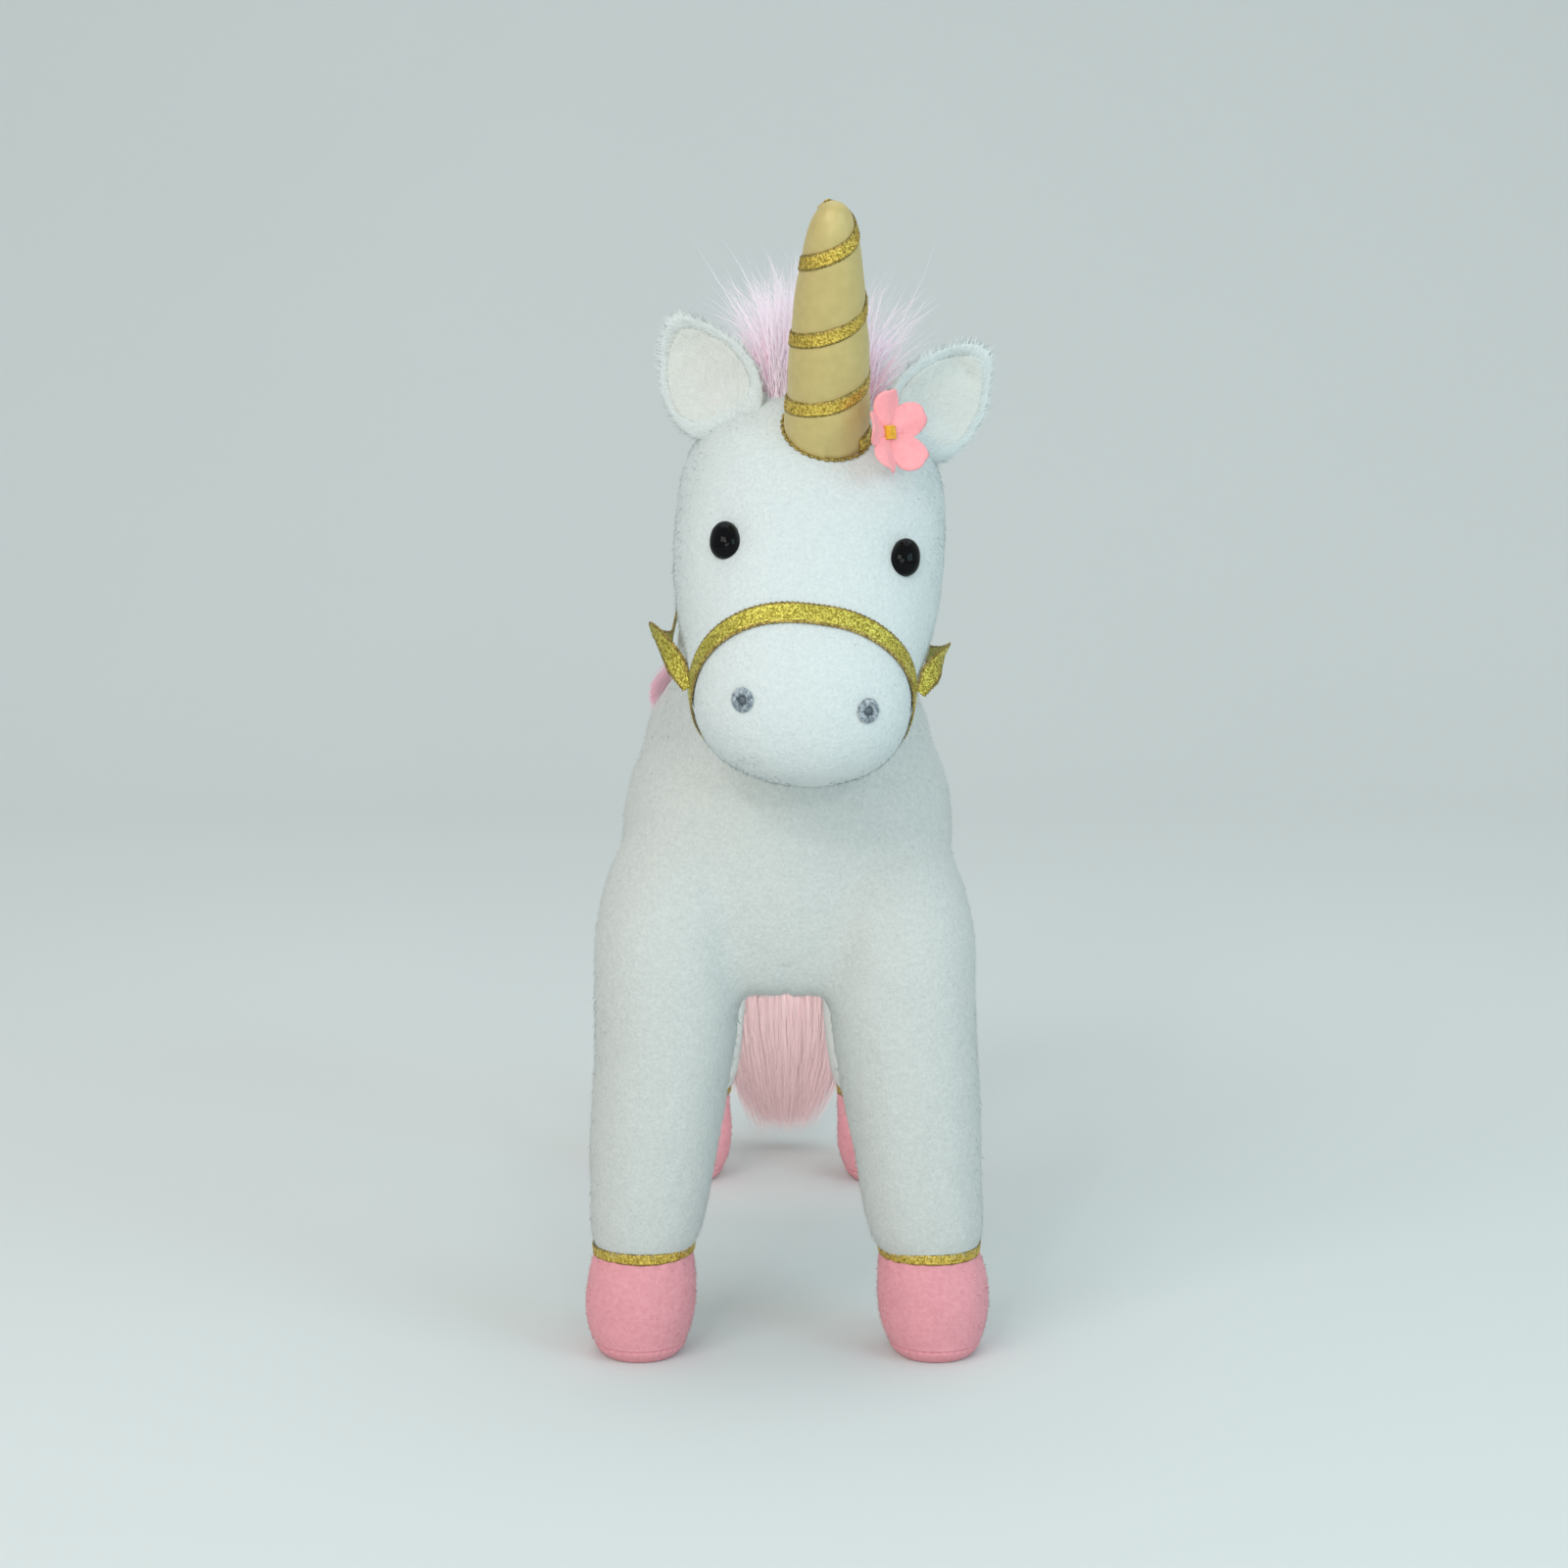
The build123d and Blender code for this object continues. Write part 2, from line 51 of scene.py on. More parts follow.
# ------------------------------------------------------------------ camera
cam_data = bpy.data.cameras.new("camera")
cam_data.lens = 79.9
cam_data.sensor_width = 36.0
cam_data.clip_start, cam_data.clip_end = 0.05, 50.0
cam = bpy.data.objects.new("camera", cam_data)
scene.collection.objects.link(cam)
cam.location = (0.0, (YS - 951.0) * MM, 0.309)
cam.rotation_euler = (math.radians(90 - 8.5), 0.0, 0.0)
scene.camera = cam


# ------------------------------------------------------------------ vectors
def P(x, s, z):
    return np.array([x, s + YS, z], float)


def unit(v):
    v = np.asarray(v, float)
    return v / np.maximum(np.linalg.norm(v, axis=-1, keepdims=True), 1e-12)


def rot_y(v, deg):
    a = math.radians(deg)
    c, s = math.cos(a), math.sin(a)
    return np.array([v[0] * c + v[2] * s, v[1], -v[0] * s + v[2] * c])


def rot_z(v, deg):
    a = math.radians(deg)
    c, s = math.cos(a), math.sin(a)
    return np.array([v[0] * c - v[1] * s, v[0] * s + v[1] * c, v[2]])


def head_dir(v):
    return rot_y(rot_z(np.array(v, float), 2.5), 5.5)


_d = math.radians(50.0)
HX = head_dir((1, 0, 0))
HH = head_dir((0, -math.cos(_d), -math.sin(_d)))
HN = head_dir((0, -math.sin(_d), math.cos(_d)))
HC = P(7.5, 6.0, 243.0)
NF = P(0, 42.0, 166.0)
NU = unit(HC - NF)


def H(x, t, n):
    return HC + HX * x + HH * t + HN * n


# ------------------------------------------------------------------ meshes
def make(name, co, quads=None, tris=None, mat=None, smooth=True, normals=None):
    """A mesh object from arrays, coordinates in mm."""
    co = np.asarray(co, np.float32)
    me = bpy.data.meshes.new(name)
    me.vertices.add(len(co))
    me.vertices.foreach_set("co", (co * MM).ravel())
    parts, starts, at = [], [], 0
    for f, k in ((quads, 4), (tris, 3)):
        if f is None or len(f) == 0:
            continue
        f = np.asarray(f, np.int32)
        parts.append(f.ravel())
        starts.append(at + np.arange(len(f), dtype=np.int32) * k)
        at += len(f) * k
    loops, starts = np.concatenate(parts), np.concatenate(starts)
    me.loops.add(len(loops))
    me.loops.foreach_set("vertex_index", loops)
    me.polygons.add(len(starts))
    me.polygons.foreach_set("loop_start", starts)
    me.update(calc_edges=True)
    me.polygons.foreach_set("use_smooth", np.full(len(starts), smooth))
    if normals is not None:
        me.normals_split_custom_set_from_vertices(np.asarray(normals, np.float32).tolist())
    if mat is not None:
        me.materials.append(mat)
    ob = bpy.data.objects.new(name, me)
    scene.collection.objects.link(ob)
    return ob


def spline(rows, m):
    """Catmull-Rom through the rows, m steps in each span."""
    r = np.asarray(rows, float)
    p = np.vstack([2 * r[0] - r[1], r, 2 * r[-1] - r[-2]])
    out = []
    for i in range(1, len(p) - 2):
        for j in range(m):
            t = j / m
            out.append(0.5 * ((2 * p[i]) + (-p[i - 1] + p[i + 1]) * t
                              + (2 * p[i - 1] - 5 * p[i] + 4 * p[i + 1] - p[i + 2]) * t * t
                              + (-p[i - 1] + 3 * p[i] - 3 * p[i + 1] + p[i + 2]) * t ** 3))
    out.append(r[-1])
    return np.array(out)


def rings(centres, us, vs, a, b, e=2.0, n=48, b2=None):
    """Closed loft of superellipses: points, quads and end fans. b2 is the half depth on the -v side."""
    th = np.linspace(0, 2 * math.pi, n, endpoint=False)
    c, s = np.cos(th), np.sin(th)
    m = len(centres)
    e = np.broadcast_to(np.asarray(e, float), (m,))
    a, b = np.asarray(a, float), np.asarray(b, float)
    b2 = b if b2 is None else np.asarray(b2, float)
    co = []
    for i in range(m):
        k = 2.0 / e[i]
        x = np.sign(c) * np.abs(c) ** k * a[i]
        y = np.sign(s) * np.abs(s) ** k * np.where(s >= 0, b[i], b2[i])
        co.append(centres[i] + np.outer(x, us[i]) + np.outer(y, vs[i]))
    co = np.vstack(co)
    quads = []
    idx = np.arange(n)
    for i in range(m - 1):
        quads.append(np.stack([i * n + idx, i * n + (idx + 1) % n,
                               (i + 1) * n + (idx + 1) % n, (i + 1) * n + idx], 1))
    quads = np.vstack(quads)
    co = np.vstack([co, centres[0], centres[-1]])
    a0, a1 = m * n, m * n + 1
    tris = np.vstack([np.stack([(idx + 1) % n, idx, np.full(n, a0)], 1),
                      np.stack([(m - 1) * n + idx, (m - 1) * n + (idx + 1) % n,
                                np.full(n, a1)], 1)])
    return co, quads, tris


def join_arrays(items):
    cos, qs, ts, at = [], [], [], 0
    for co, q, t in items:
        cos.append(co)
        if q is not None and len(q):
            qs.append(np.asarray(q) + at)
        if t is not None and len(t):
            ts.append(np.asarray(t) + at)
        at += len(co)
    return np.vstack(cos), (np.vstack(qs) if qs else None), (np.vstack(ts) if ts else None)


def bake_modifiers(ob):
    dg = bpy.context.evaluated_depsgraph_get()
    me = bpy.data.meshes.new_from_object(ob.evaluated_get(dg))
    old = ob.data
    ob.modifiers.clear()
    ob.data = me
    bpy.data.meshes.remove(old)
    return ob


def coords(ob):
    a = np.empty(len(ob.data.vertices) * 3, np.float32)
    ob.data.vertices.foreach_get("co", a)
    return a.reshape(-1, 3) / MM


def set_coords(ob, co):
    ob.data.vertices.foreach_set("co", (np.asarray(co, np.float32) * MM).ravel())
    ob.data.update()


def vert_normals(ob):
    a = np.empty(len(ob.data.vertices) * 3, np.float32)
    ob.data.vertex_normals.foreach_get("vector", a)
    return a.reshape(-1, 3)


def solid(name, items, voxel=2.0, smooth_n=10, grow=0.0, sub=1, mat=None):
    """Joined closed forms remeshed to one skin, then smoothed so their joins run together."""
    co, q, t = join_arrays(items)
    ob = make(name, co, q, t, mat)
    r = ob.modifiers.new("remesh", "REMESH")
    r.mode = "VOXEL"
    r.voxel_size = voxel * MM
    r.use_smooth_shade = True
    s = ob.modifiers.new("smooth", "SMOOTH")
    s.factor, s.iterations = 0.5, smooth_n
    bake_modifiers(ob)
    if grow:
        set_coords(ob, coords(ob) + vert_normals(ob) * grow)
    if sub:
        m = ob.modifiers.new("sub", "SUBSURF")
        m.levels = m.render_levels = sub
        bake_modifiers(ob)
    if mat is not None:
        ob.data.materials.clear()
        ob.data.materials.append(mat)
    ob.data.polygons.foreach_set("use_smooth", np.ones(len(ob.data.polygons), bool))
    return ob


def cut_copy(ob, name, planes):
    """A copy of ob keeping what lies on the positive side of every plane (point, normal), in mm."""
    bm = bmesh.new()
    bm.from_mesh(ob.data)
    for point, normal in planes:
        bmesh.ops.bisect_plane(bm, geom=bm.verts[:] + bm.edges[:] + bm.faces[:],
                               plane_co=Vector(point) * MM, plane_no=Vector(normal),
                               clear_inner=True, dist=1e-7)
    me = bpy.data.meshes.new(name)
    bm.to_mesh(me)
    bm.free()
    for m in ob.data.materials:
        me.materials.append(m)
    new = bpy.data.objects.new(name, me)
    scene.collection.objects.link(new)
    return new


def filling(ob, name, planes, inset, ratio=0.16):
    """The stuffing inside a skin: a closed copy of it set in by inset mm, cut by planes and capped."""
    co, no = coords(ob), vert_normals(ob)
    me = ob.data.copy()
    new = bpy.data.objects.new(name, me)
    scene.collection.objects.link(new)
    set_coords(new, co - no * inset)
    m = new.modifiers.new("decimate", "DECIMATE")
    m.ratio = ratio
    m = new.modifiers.new("smooth", "SMOOTH")
    m.iterations = 3
    bake_modifiers(new)
    bm = bmesh.new()
    bm.from_mesh(new.data)
    for point, normal in planes:
        r = bmesh.ops.bisect_plane(bm, geom=bm.verts[:] + bm.edges[:] + bm.faces[:],
                                   plane_co=Vector(point) * MM, plane_no=Vector(normal),
                                   clear_inner=True, dist=1e-7)
        edges = [e for e in r["geom_cut"] if isinstance(e, bmesh.types.BMEdge)]
        if edges:
            bmesh.ops.holes_fill(bm, edges=edges, sides=0)
    bmesh.ops.triangulate(bm, faces=[f for f in bm.faces if len(f.verts) > 4])
    bm.to_mesh(new.data)
    bm.free()
    new.data.materials.clear()
    new.data.materials.append(M_FIBRE)
    fillings.append(new)
    return new


fillings = []


def drop(ob):
    me = ob.data
    bpy.data.objects.remove(ob)
    bpy.data.meshes.remove(me)


def value_noise(p, scale, seed=0):
    """Smooth repeatable noise, -1 to 1, at points p in mm with features about scale mm wide."""
    q = p / scale + np.array([13.7, 5.1, 9.3]) * (seed + 1)
    i = np.floor(q).astype(np.int64)
    f = q - i
    f = f * f * (3 - 2 * f)

    def h(ix, iy, iz):
        n = (ix * 374761393 + iy * 668265263 + iz * 2147483647 + seed * 1274126177) & 0xFFFFFFFF
        n = ((n ^ (n >> 13)) * 1274126177) & 0xFFFFFFFF
        return ((n ^ (n >> 16)) & 0xFFFF) / 32767.5 - 1.0

    out = 0
    for dx in (0, 1):
        for dy in (0, 1):
            for dz in (0, 1):
                w = ((f[:, 0] if dx else 1 - f[:, 0]) * (f[:, 1] if dy else 1 - f[:, 1])
                     * (f[:, 2] if dz else 1 - f[:, 2]))
                out = out + w * h(i[:, 0] + dx, i[:, 1] + dy, i[:, 2] + dz)
    return out


# ------------------------------------------------------------------ materials
def material(name, color, rough=0.8, metallic=0.0, sheen=0.0, sheen_tint=None, spec=None,
             coat=0.0, color2=None, noise_mm=1.2, bump=(), detail=3.0, voronoi=None,
             aniso=0.0, sss=0.0):
    """Principled cloth, plastic or metal. color2 mixes in by noise; bump is a list of (mm, strength, distance mm)."""
    m = bpy.data.materials.new(name)
    m.use_nodes = True
    nt = m.node_tree
    bs = next(n for n in nt.nodes if n.type == "BSDF_PRINCIPLED")
    bs.inputs["Base Color"].default_value = (*color, 1)
    bs.inputs["Roughness"].default_value = rough
    bs.inputs["Metallic"].default_value = metallic
    if sheen:
        bs.inputs["Sheen Weight"].default_value = sheen
        bs.inputs["Sheen Roughness"].default_value = 0.5
        bs.inputs["Sheen Tint"].default_value = (*(sheen_tint or (1, 1, 1)), 1)
    if spec is not None:
        bs.inputs["Specular IOR Level"].default_value = spec
    if coat:
        bs.inputs["Coat Weight"].default_value = coat
        bs.inputs["Coat Roughness"].default_value = 0.05
    if aniso:
        bs.inputs["Anisotropic"].default_value = aniso
    if sss:
        bs.inputs["Subsurface Weight"].default_value = sss
        bs.inputs["Subsurface Radius"].default_value = (0.004, 0.003, 0.003)
        bs.inputs["Subsurface Scale"].default_value = 0.5
    tc = None
    if color2 is not None or bump:
        tc = nt.nodes.new("ShaderNodeTexCoord")
    if color2 is not None:
        if voronoi:
            tx = nt.nodes.new("ShaderNodeTexVoronoi")
            tx.inputs["Scale"].default_value = 1.0 / (voronoi * MM)
            fac = tx.outputs["Color"]
        else:
            tx = nt.nodes.new("ShaderNodeTexNoise")
            tx.inputs["Scale"].default_value = 1.0 / (noise_mm * MM)
            tx.inputs["Detail"].default_value = detail
            fac = tx.outputs["Fac"]
        nt.links.new(tc.outputs["Object"], tx.inputs["Vector"])
        ramp = nt.nodes.new("ShaderNodeValToRGB")
        ramp.color_ramp.elements[0].position, ramp.color_ramp.elements[1].position = 0.3, 0.7
        ramp.color_ramp.elements[0].color = (*color2, 1)
        ramp.color_ramp.elements[1].color = (*color, 1)
        nt.links.new(fac, ramp.inputs["Fac"])
        nt.links.new(ramp.outputs["Color"], bs.inputs["Base Color"])
    last = None
    for mm_size, strength, dist in bump:
        tx = nt.nodes.new("ShaderNodeTexNoise")
        tx.inputs["Scale"].default_value = 1.0 / (mm_size * MM)
        tx.inputs["Detail"].default_value = 2.0
        nt.links.new(tc.outputs["Object"], tx.inputs["Vector"])
        b = nt.nodes.new("ShaderNodeBump")
        b.inputs["Strength"].default_value = strength
        b.inputs["Distance"].default_value = dist * MM
        nt.links.new(tx.outputs["Fac"], b.inputs["Height"])
        if last is not None:
            nt.links.new(last.outputs["Normal"], b.inputs["Normal"])
        last = b
    if last is not None:
        nt.links.new(last.outputs["Normal"], bs.inputs["Normal"])
    return m


M_PLUSH = material("plush_white", (0.62, 0.64, 0.615), 0.95, sheen=0.15, color2=(0.545, 0.565, 0.545),
                   noise_mm=1.1, bump=((0.9, 0.5, 0.5), (0.35, 0.4, 0.25)), spec=0.15)
M_PILE = material("plush_pile", (0.65, 0.67, 0.645), 0.9, sheen=0.12, spec=0.1)
# painted light: the head and ears use lighter, bluer copies of the body's white plush, lightest on the ear pile at
# the top
M_HEAD_LIT = material("head_white", (0.665, 0.71, 0.70), 0.95, sheen=0.15, color2=(0.59, 0.635, 0.63),
                  noise_mm=1.0, bump=((0.9, 0.6, 0.5), (0.35, 0.4, 0.25)), spec=0.12)
M_HEAD_PILE_LIT = material("head_pile_white", (0.695, 0.74, 0.735), 0.9, sheen=0.12, spec=0.1)
M_EAR_PILE_LIT = material("ear_pile_white", (0.735, 0.775, 0.765), 0.9, sheen=0.12, spec=0.1)
M_LINING = material("ear_lining", (0.69, 0.705, 0.67), 0.95, sheen=0.15, color2=(0.64, 0.65, 0.61),
                    noise_mm=1.3, bump=((0.8, 0.5, 0.4),), spec=0.15)
M_LINING_PILE = material("ear_lining_pile", (0.71, 0.73, 0.695), 0.9, sheen=0.25, spec=0.1)
M_HOOF = material("hoof_pink", (0.78, 0.35, 0.39), 0.95, sheen=0.2, sheen_tint=(1, 0.8, 0.82),
                  color2=(0.71, 0.295, 0.335), noise_mm=1.4,
                  bump=((1.0, 0.5, 0.4), (0.35, 0.45, 0.2)), spec=0.15)
M_HOOF_PILE = material("hoof_pile", (0.80, 0.37, 0.41), 0.9, sheen=0.3, sheen_tint=(1, 0.8, 0.82),
                       spec=0.1)
M_SOLE = material("sole_pink", (0.76, 0.34, 0.375), 0.95, sheen=0.15, color2=(0.69, 0.285, 0.32),
                  noise_mm=1.2, bump=((0.7, 0.5, 0.35),), spec=0.15)
M_GOLD = material("gold_ribbon", (0.86, 0.76, 0.15), 0.34, metallic=0.85,
                  color2=(0.33, 0.26, 0.03), voronoi=0.42, bump=((0.45, 0.9, 0.25),))
M_GOLD_WARM = material("gold_ribbon_warm", (0.92, 0.67, 0.14), 0.34, metallic=0.85,
                       color2=(0.40, 0.27, 0.04), voronoi=0.42, bump=((0.45, 0.9, 0.25),))
M_GOLD_EDGE = material("gold_ribbon_edge", (0.50, 0.37, 0.10), 0.45, metallic=0.7,
                       color2=(0.20, 0.14, 0.03), voronoi=0.5, bump=((0.5, 0.9, 0.25),))
M_SATIN = material("gold_satin", (0.555, 0.44, 0.17), 0.46, metallic=0.12, sheen=0.2,
                   sheen_tint=(1, 0.93, 0.78), color2=(0.50, 0.395, 0.145), noise_mm=3.0,
                   bump=((0.25, 0.12, 0.08), (6.0, 0.25, 0.8)), spec=0.55, aniso=0.4)
M_EYE = material("eye_black", (0.002, 0.002, 0.002), 0.04, spec=0.12,
                 color2=(0.002, 0.002, 0.003), noise_mm=6.0, bump=((4.0, 0.02, 0.1),))
M_SILVER = material("nostril_thread", (0.55, 0.60, 0.63), 0.42, metallic=0.35,
                    color2=(0.22, 0.26, 0.30), voronoi=0.55, bump=((0.4, 0.8, 0.2),))
M_BEAD = material("nostril_bead", (0.075, 0.095, 0.11), 0.35, metallic=0.2, spec=0.4,
                  color2=(0.13, 0.16, 0.18), noise_mm=1.0, bump=((1.0, 0.2, 0.1),))
M_FLOWER = material("flower_pink", (0.98, 0.40, 0.42), 0.95, sheen=0.25,
                    sheen_tint=(1, 0.85, 0.85), color2=(0.94, 0.35, 0.37), noise_mm=1.0,
                    bump=((0.8, 0.5, 0.3), (0.3, 0.4, 0.15)), spec=0.15)
M_YELLOW = material("flower_yellow", (0.83, 0.45, 0.02), 0.7, color2=(0.70, 0.33, 0.01),
                    noise_mm=0.8, bump=((0.5, 0.6, 0.2),), sheen=0.2)
M_MANE = material("mane_pink", (0.97, 0.85, 0.94), 0.85, sheen=0.4, spec=0.15)
M_MANE_DEEP = material("mane_pink_deep", (0.96, 0.64, 0.74), 0.8, sheen=0.3, spec=0.2)
# painted shade: a darker pink copy of the tail fur, for the short hairs at the tail's top and its core under the rump
M_TAIL_SHADED = material("tail_pink", (0.96, 0.53, 0.62), 0.8, sheen=0.3, spec=0.2)
M_TAIL_LIGHT = material("tail_pink_light", (0.96, 0.74, 0.75), 0.8, sheen=0.3, spec=0.2)
M_SCALP = material("mane_base", (0.94, 0.58, 0.66), 0.95, color2=(0.88, 0.50, 0.59),
                   noise_mm=1.5, bump=((1.0, 0.6, 0.5),), spec=0.1)
M_THREAD = material("white_thread", (0.74, 0.78, 0.78), 0.7, color2=(0.6, 0.64, 0.64),
                    noise_mm=0.6, bump=((0.4, 0.5, 0.15),))
M_FIBRE = material("stuffing_fibre", (0.86, 0.86, 0.85), 0.95, color2=(0.78, 0.78, 0.77),
                   noise_mm=3.0, bump=((2.0, 0.6, 0.8),), spec=0.1)
M_NYLON = material("washer_nylon", (0.80, 0.80, 0.76), 0.4, color2=(0.74, 0.74, 0.70),
                   noise_mm=2.0, bump=((1.0, 0.1, 0.05),))
M_COTTON = material("pellet_cotton", (0.72, 0.69, 0.62), 0.9, color2=(0.62, 0.59, 0.52),
                    noise_mm=0.8, bump=((0.8, 0.5, 0.3), (3.0, 0.4, 0.8)))


# ------------------------------------------------------------------ fibres
def sample(ob, count, rng, keep=None):
    """Evenly spread points on ob's surface with their smooth normals. keep is a test on the points in mm."""
    me = ob.data
    me.calc_loop_triangles()
    n = len(me.loop_triangles)
    tri = np.empty(n * 3, np.int32)
    me.loop_triangles.foreach_get("vertices", tri)
    tri = tri.reshape(-1, 3)
    co, no = coords(ob), vert_normals(ob)
    a, b, c = co[tri[:, 0]], co[tri[:, 1]], co[tri[:, 2]]
    area = np.linalg.norm(np.cross(b - a, c - a), axis=1)
    pick = rng.choice(n, size=count, p=area / area.sum())
    u, v = rng.random(count), rng.random(count)
    flip = u + v > 1
    u[flip], v[flip] = 1 - u[flip], 1 - v[flip]
    w = 1 - u - v
    t = tri[pick]
    p = co[t[:, 0]] * w[:, None] + co[t[:, 1]] * u[:, None] + co[t[:, 2]] * v[:, None]
    nn = unit(no[t[:, 0]] * w[:, None] + no[t[:, 1]] * u[:, None] + no[t[:, 2]] * v[:, None])
    if keep is not None:
        k = keep(p)
        p, nn = p[k], nn[k]
    return p, nn


def pile(name, p, n, comb, rng, length=2.0, width=0.24, lift=0.30, mess=0.22, mat=None,
         sink=0.25, soft=0.85):
    """Short nap: one tapered fibre at each point, laid along comb with some disorder."""
    m = len(p)
    comb = comb - n * np.sum(comb * n, 1, keepdims=True)
    d = unit(unit(comb) * (1 - lift) + n * lift + rng.normal(0, mess, (m, 3)) * 0.6)
    low = np.sum(d * n, 1) < 0.12
    d[low] = unit(d[low] + n[low] * 0.35)
    ln = length * rng.uniform(0.65, 1.2, m)[:, None]
    side = unit(np.cross(d, n + rng.normal(0, 0.25, (m, 3))))
    wd = width * rng.uniform(0.7, 1.2, m)[:, None] * 0.5
    base = p - n * sink
    co = np.empty((m, 3, 3))
    co[:, 0] = base - side * wd
    co[:, 1] = base + side * wd
    co[:, 2] = base + d * ln
    tris = np.arange(m * 3).reshape(-1, 3)
    nn = unit(n * soft + d * (1 - soft) * 0.5)
    flip = np.sum(np.cross(co[:, 1] - co[:, 0], co[:, 2] - co[:, 0]) * n, 1) < 0
    tris[flip] = tris[flip][:, ::-1]
    ob = make(name, co.reshape(-1, 3), None, tris, mat, True, np.repeat(nn, 3, axis=0))
    ob.visible_shadow = False       # nap this fine lets light through
    return ob


def strands(name, roots, dirs, lengths, rng, width=0.16, segs=7, droop=0.0, curl=0.15,
            curl_mm=14.0, mat=None, face=None, seed=3, stay=None, taper=1.0):
    """Long soft hairs: tapered ribbons of segs spans that start along dirs, droop and wander."""
    m = len(roots)
    p = roots.copy()
    d = unit(dirs)
    step = (lengths / segs)[:, None]
    side = unit(np.cross(d, rng.normal(0, 1, (m, 3))))
    if face is not None:
        side = unit(np.cross(d, face) + rng.normal(0, 0.45, (m, 3)))
    rows_l, rows_r = [], []
    off = rng.uniform(0, 1000, (m, 1)) * 0.0
    own = rng.normal(0, 1, (m, 3))
    for k in range(segs + 1):
        f = k / segs
        w = width * 0.5 * (1 - f ** 1.6 * taper)
        rows_l.append(p - side * w)
        rows_r.append(p + side * w)
        if k == segs:
            break
        bend = np.stack([value_noise(p + off, curl_mm, seed), value_noise(p + off, curl_mm, seed + 1),
                         value_noise(p + off, curl_mm, seed + 2)], 1)
        d = unit(d + bend * curl + own * curl * 0.35 + np.array([0, 0, -droop / segs]))
        q = p + d * step
        if stay is not None:
            q = stay(q, f)
        p = q
    n = segs + 1
    co = np.empty((m, n, 2, 3))
    for k in range(n):
        co[:, k, 0], co[:, k, 1] = rows_l[k], rows_r[k]
    base = (np.arange(m) * n * 2)[:, None]
    k = np.arange(segs)[None, :] * 2
    quads = np.stack([base + k, base + k + 1, base + k + 3, base + k + 2], 2).reshape(-1, 4)
    return make(name, co.reshape(-1, 3), quads, None, mat, True)


# ------------------------------------------------------------------ body skin
def by_rows(rows, m, fn, n=48):
    r = spline(rows, m)
    return fn(r, n)


X1, Y1, Z1 = np.array([1.0, 0, 0]), np.array([0, 1.0, 0]), np.array([0, 0, 1.0])

# (s, x, z, half width, half height up, half height down)
TORSO = [(-1.5, 0.8, 142, 4, 4, 4), (0, 0.8, 142, 15, 14, 15), (3.5, 0.8, 142, 28, 26, 29),
         (9, 0.8, 143, 38, 33, 37.5), (20, 0.9, 144, 44.3, 38, 40.5), (40, 1.0, 146, 47, 43, 42.5),
         (70, 1.2, 147, 46.4, 43.6, 43.5), (105, 1.4, 147, 46.0, 43.2, 43.5),
         (145, 1.4, 147, 46.0, 43.4, 43.5), (180, 1.2, 148, 45.8, 44, 42.5),
         (204, 1.0, 149, 40.5, 39.5, 38), (220, 0.8, 150, 30.5, 30, 29),
         (229, 0.6, 151, 18, 18, 18), (232, 0.6, 151, 5, 5, 5)]


def torso_form(r, n):
    k = len(r)
    c = np.array([P(q[1], q[0], q[2]) for q in r])
    return rings(c, [X1] * k, [Z1] * k, r[:, 3], r[:, 4], 2.25, n, r[:, 5])


NECK = [(0.8, 48, 146, 45, 38), (1.4, 43, 160, 43, 37.5), (2.0, 38, 172, 39.3, 36),
        (2.6, 33, 184, 35.6, 34), (3.2, 28, 196, 33.6, 33), (4.2, 22.5, 209, 32.6, 32.5),
        (5.2, 17, 221, 32, 32), (6.2, 12, 232, 28, 28), (6.6, 10, 237, 16, 16)]


def neck_form(r, n):
    k = len(r)
    c = np.array([P(q[0], q[1], q[2]) for q in r])
    v = unit(np.array([0, NU[2], -NU[1]]))
    return rings(c, [X1] * k, [v] * k, r[:, 3], r[:, 4], 2.1, n)


# (z, x of the middle, s, half width, half depth)
FRONT_LEG = [(22, 40.6, 16, 3, 3), (23, 40.6, 16, 11.3, 11.5), (27, 40.5, 16, 12.4, 12.6),
             (31, 40.2, 16, 13.6, 13.8), (33.5, 39.9, 16, 15.2, 15.4), (36.5, 39.4, 16, 15.9, 16.1),
             (42, 38.8, 16, 16.5, 16.9), (50, 37.9, 16, 17.1, 17.9), (64, 36.6, 16.2, 18.1, 19.4),
             (78, 35.3, 16.5, 19.1, 20.6), (92, 33.9, 17, 20.0, 21.8), (105, 33.0, 17.5, 20.5, 22.8),
             (119, 32.7, 18, 20.8, 23.3), (133, 30.6, 20, 20.3, 23), (148, 26.5, 23, 18, 20),
             (158, 21, 25, 9, 12)]
HIND_LEG = [(22, 32.8, 210, 3, 3), (23, 32.8, 210, 11.3, 11.5), (27, 32.7, 210, 12.4, 12.6),
            (31, 32.6, 210, 13.6, 13.8), (33.5, 32.4, 210, 15.2, 15.4), (36.5, 32.1, 210, 15.9, 16.1),
            (42, 31.8, 210, 16.5, 16.9), (50, 31.5, 210, 17.1, 17.9), (64, 31.1, 209.5, 18.1, 19.8),
            (78, 30.8, 208.5, 19.2, 21.6), (92, 30.5, 207, 20.0, 24), (105, 30.2, 205.5, 20.6, 25.8),
            (119, 29.9, 205, 20.8, 26.6), (133, 28.0, 203, 20.0, 26.2), (148, 24, 200, 17, 23),
            (160, 19, 197, 9, 12)]


FOOT_OUT = {(1, False): 1.7, (-1, False): 0.3, (1, True): 0.0, (-1, True): 0.0}


def leg_form(side):
    def form(r, n):
        k = len(r)
        out = [FOOT_OUT[(side, q[2] > 100)] * max(0.0, 1 - q[0] / 110) for q in r]
        c = np.array([P(side * q[1] + o, q[2], q[0]) for q, o in zip(r, out)])
        return rings(c, [X1 * side] * k, [Y1] * k, r[:, 3], r[:, 4], 2.15, n)
    return form


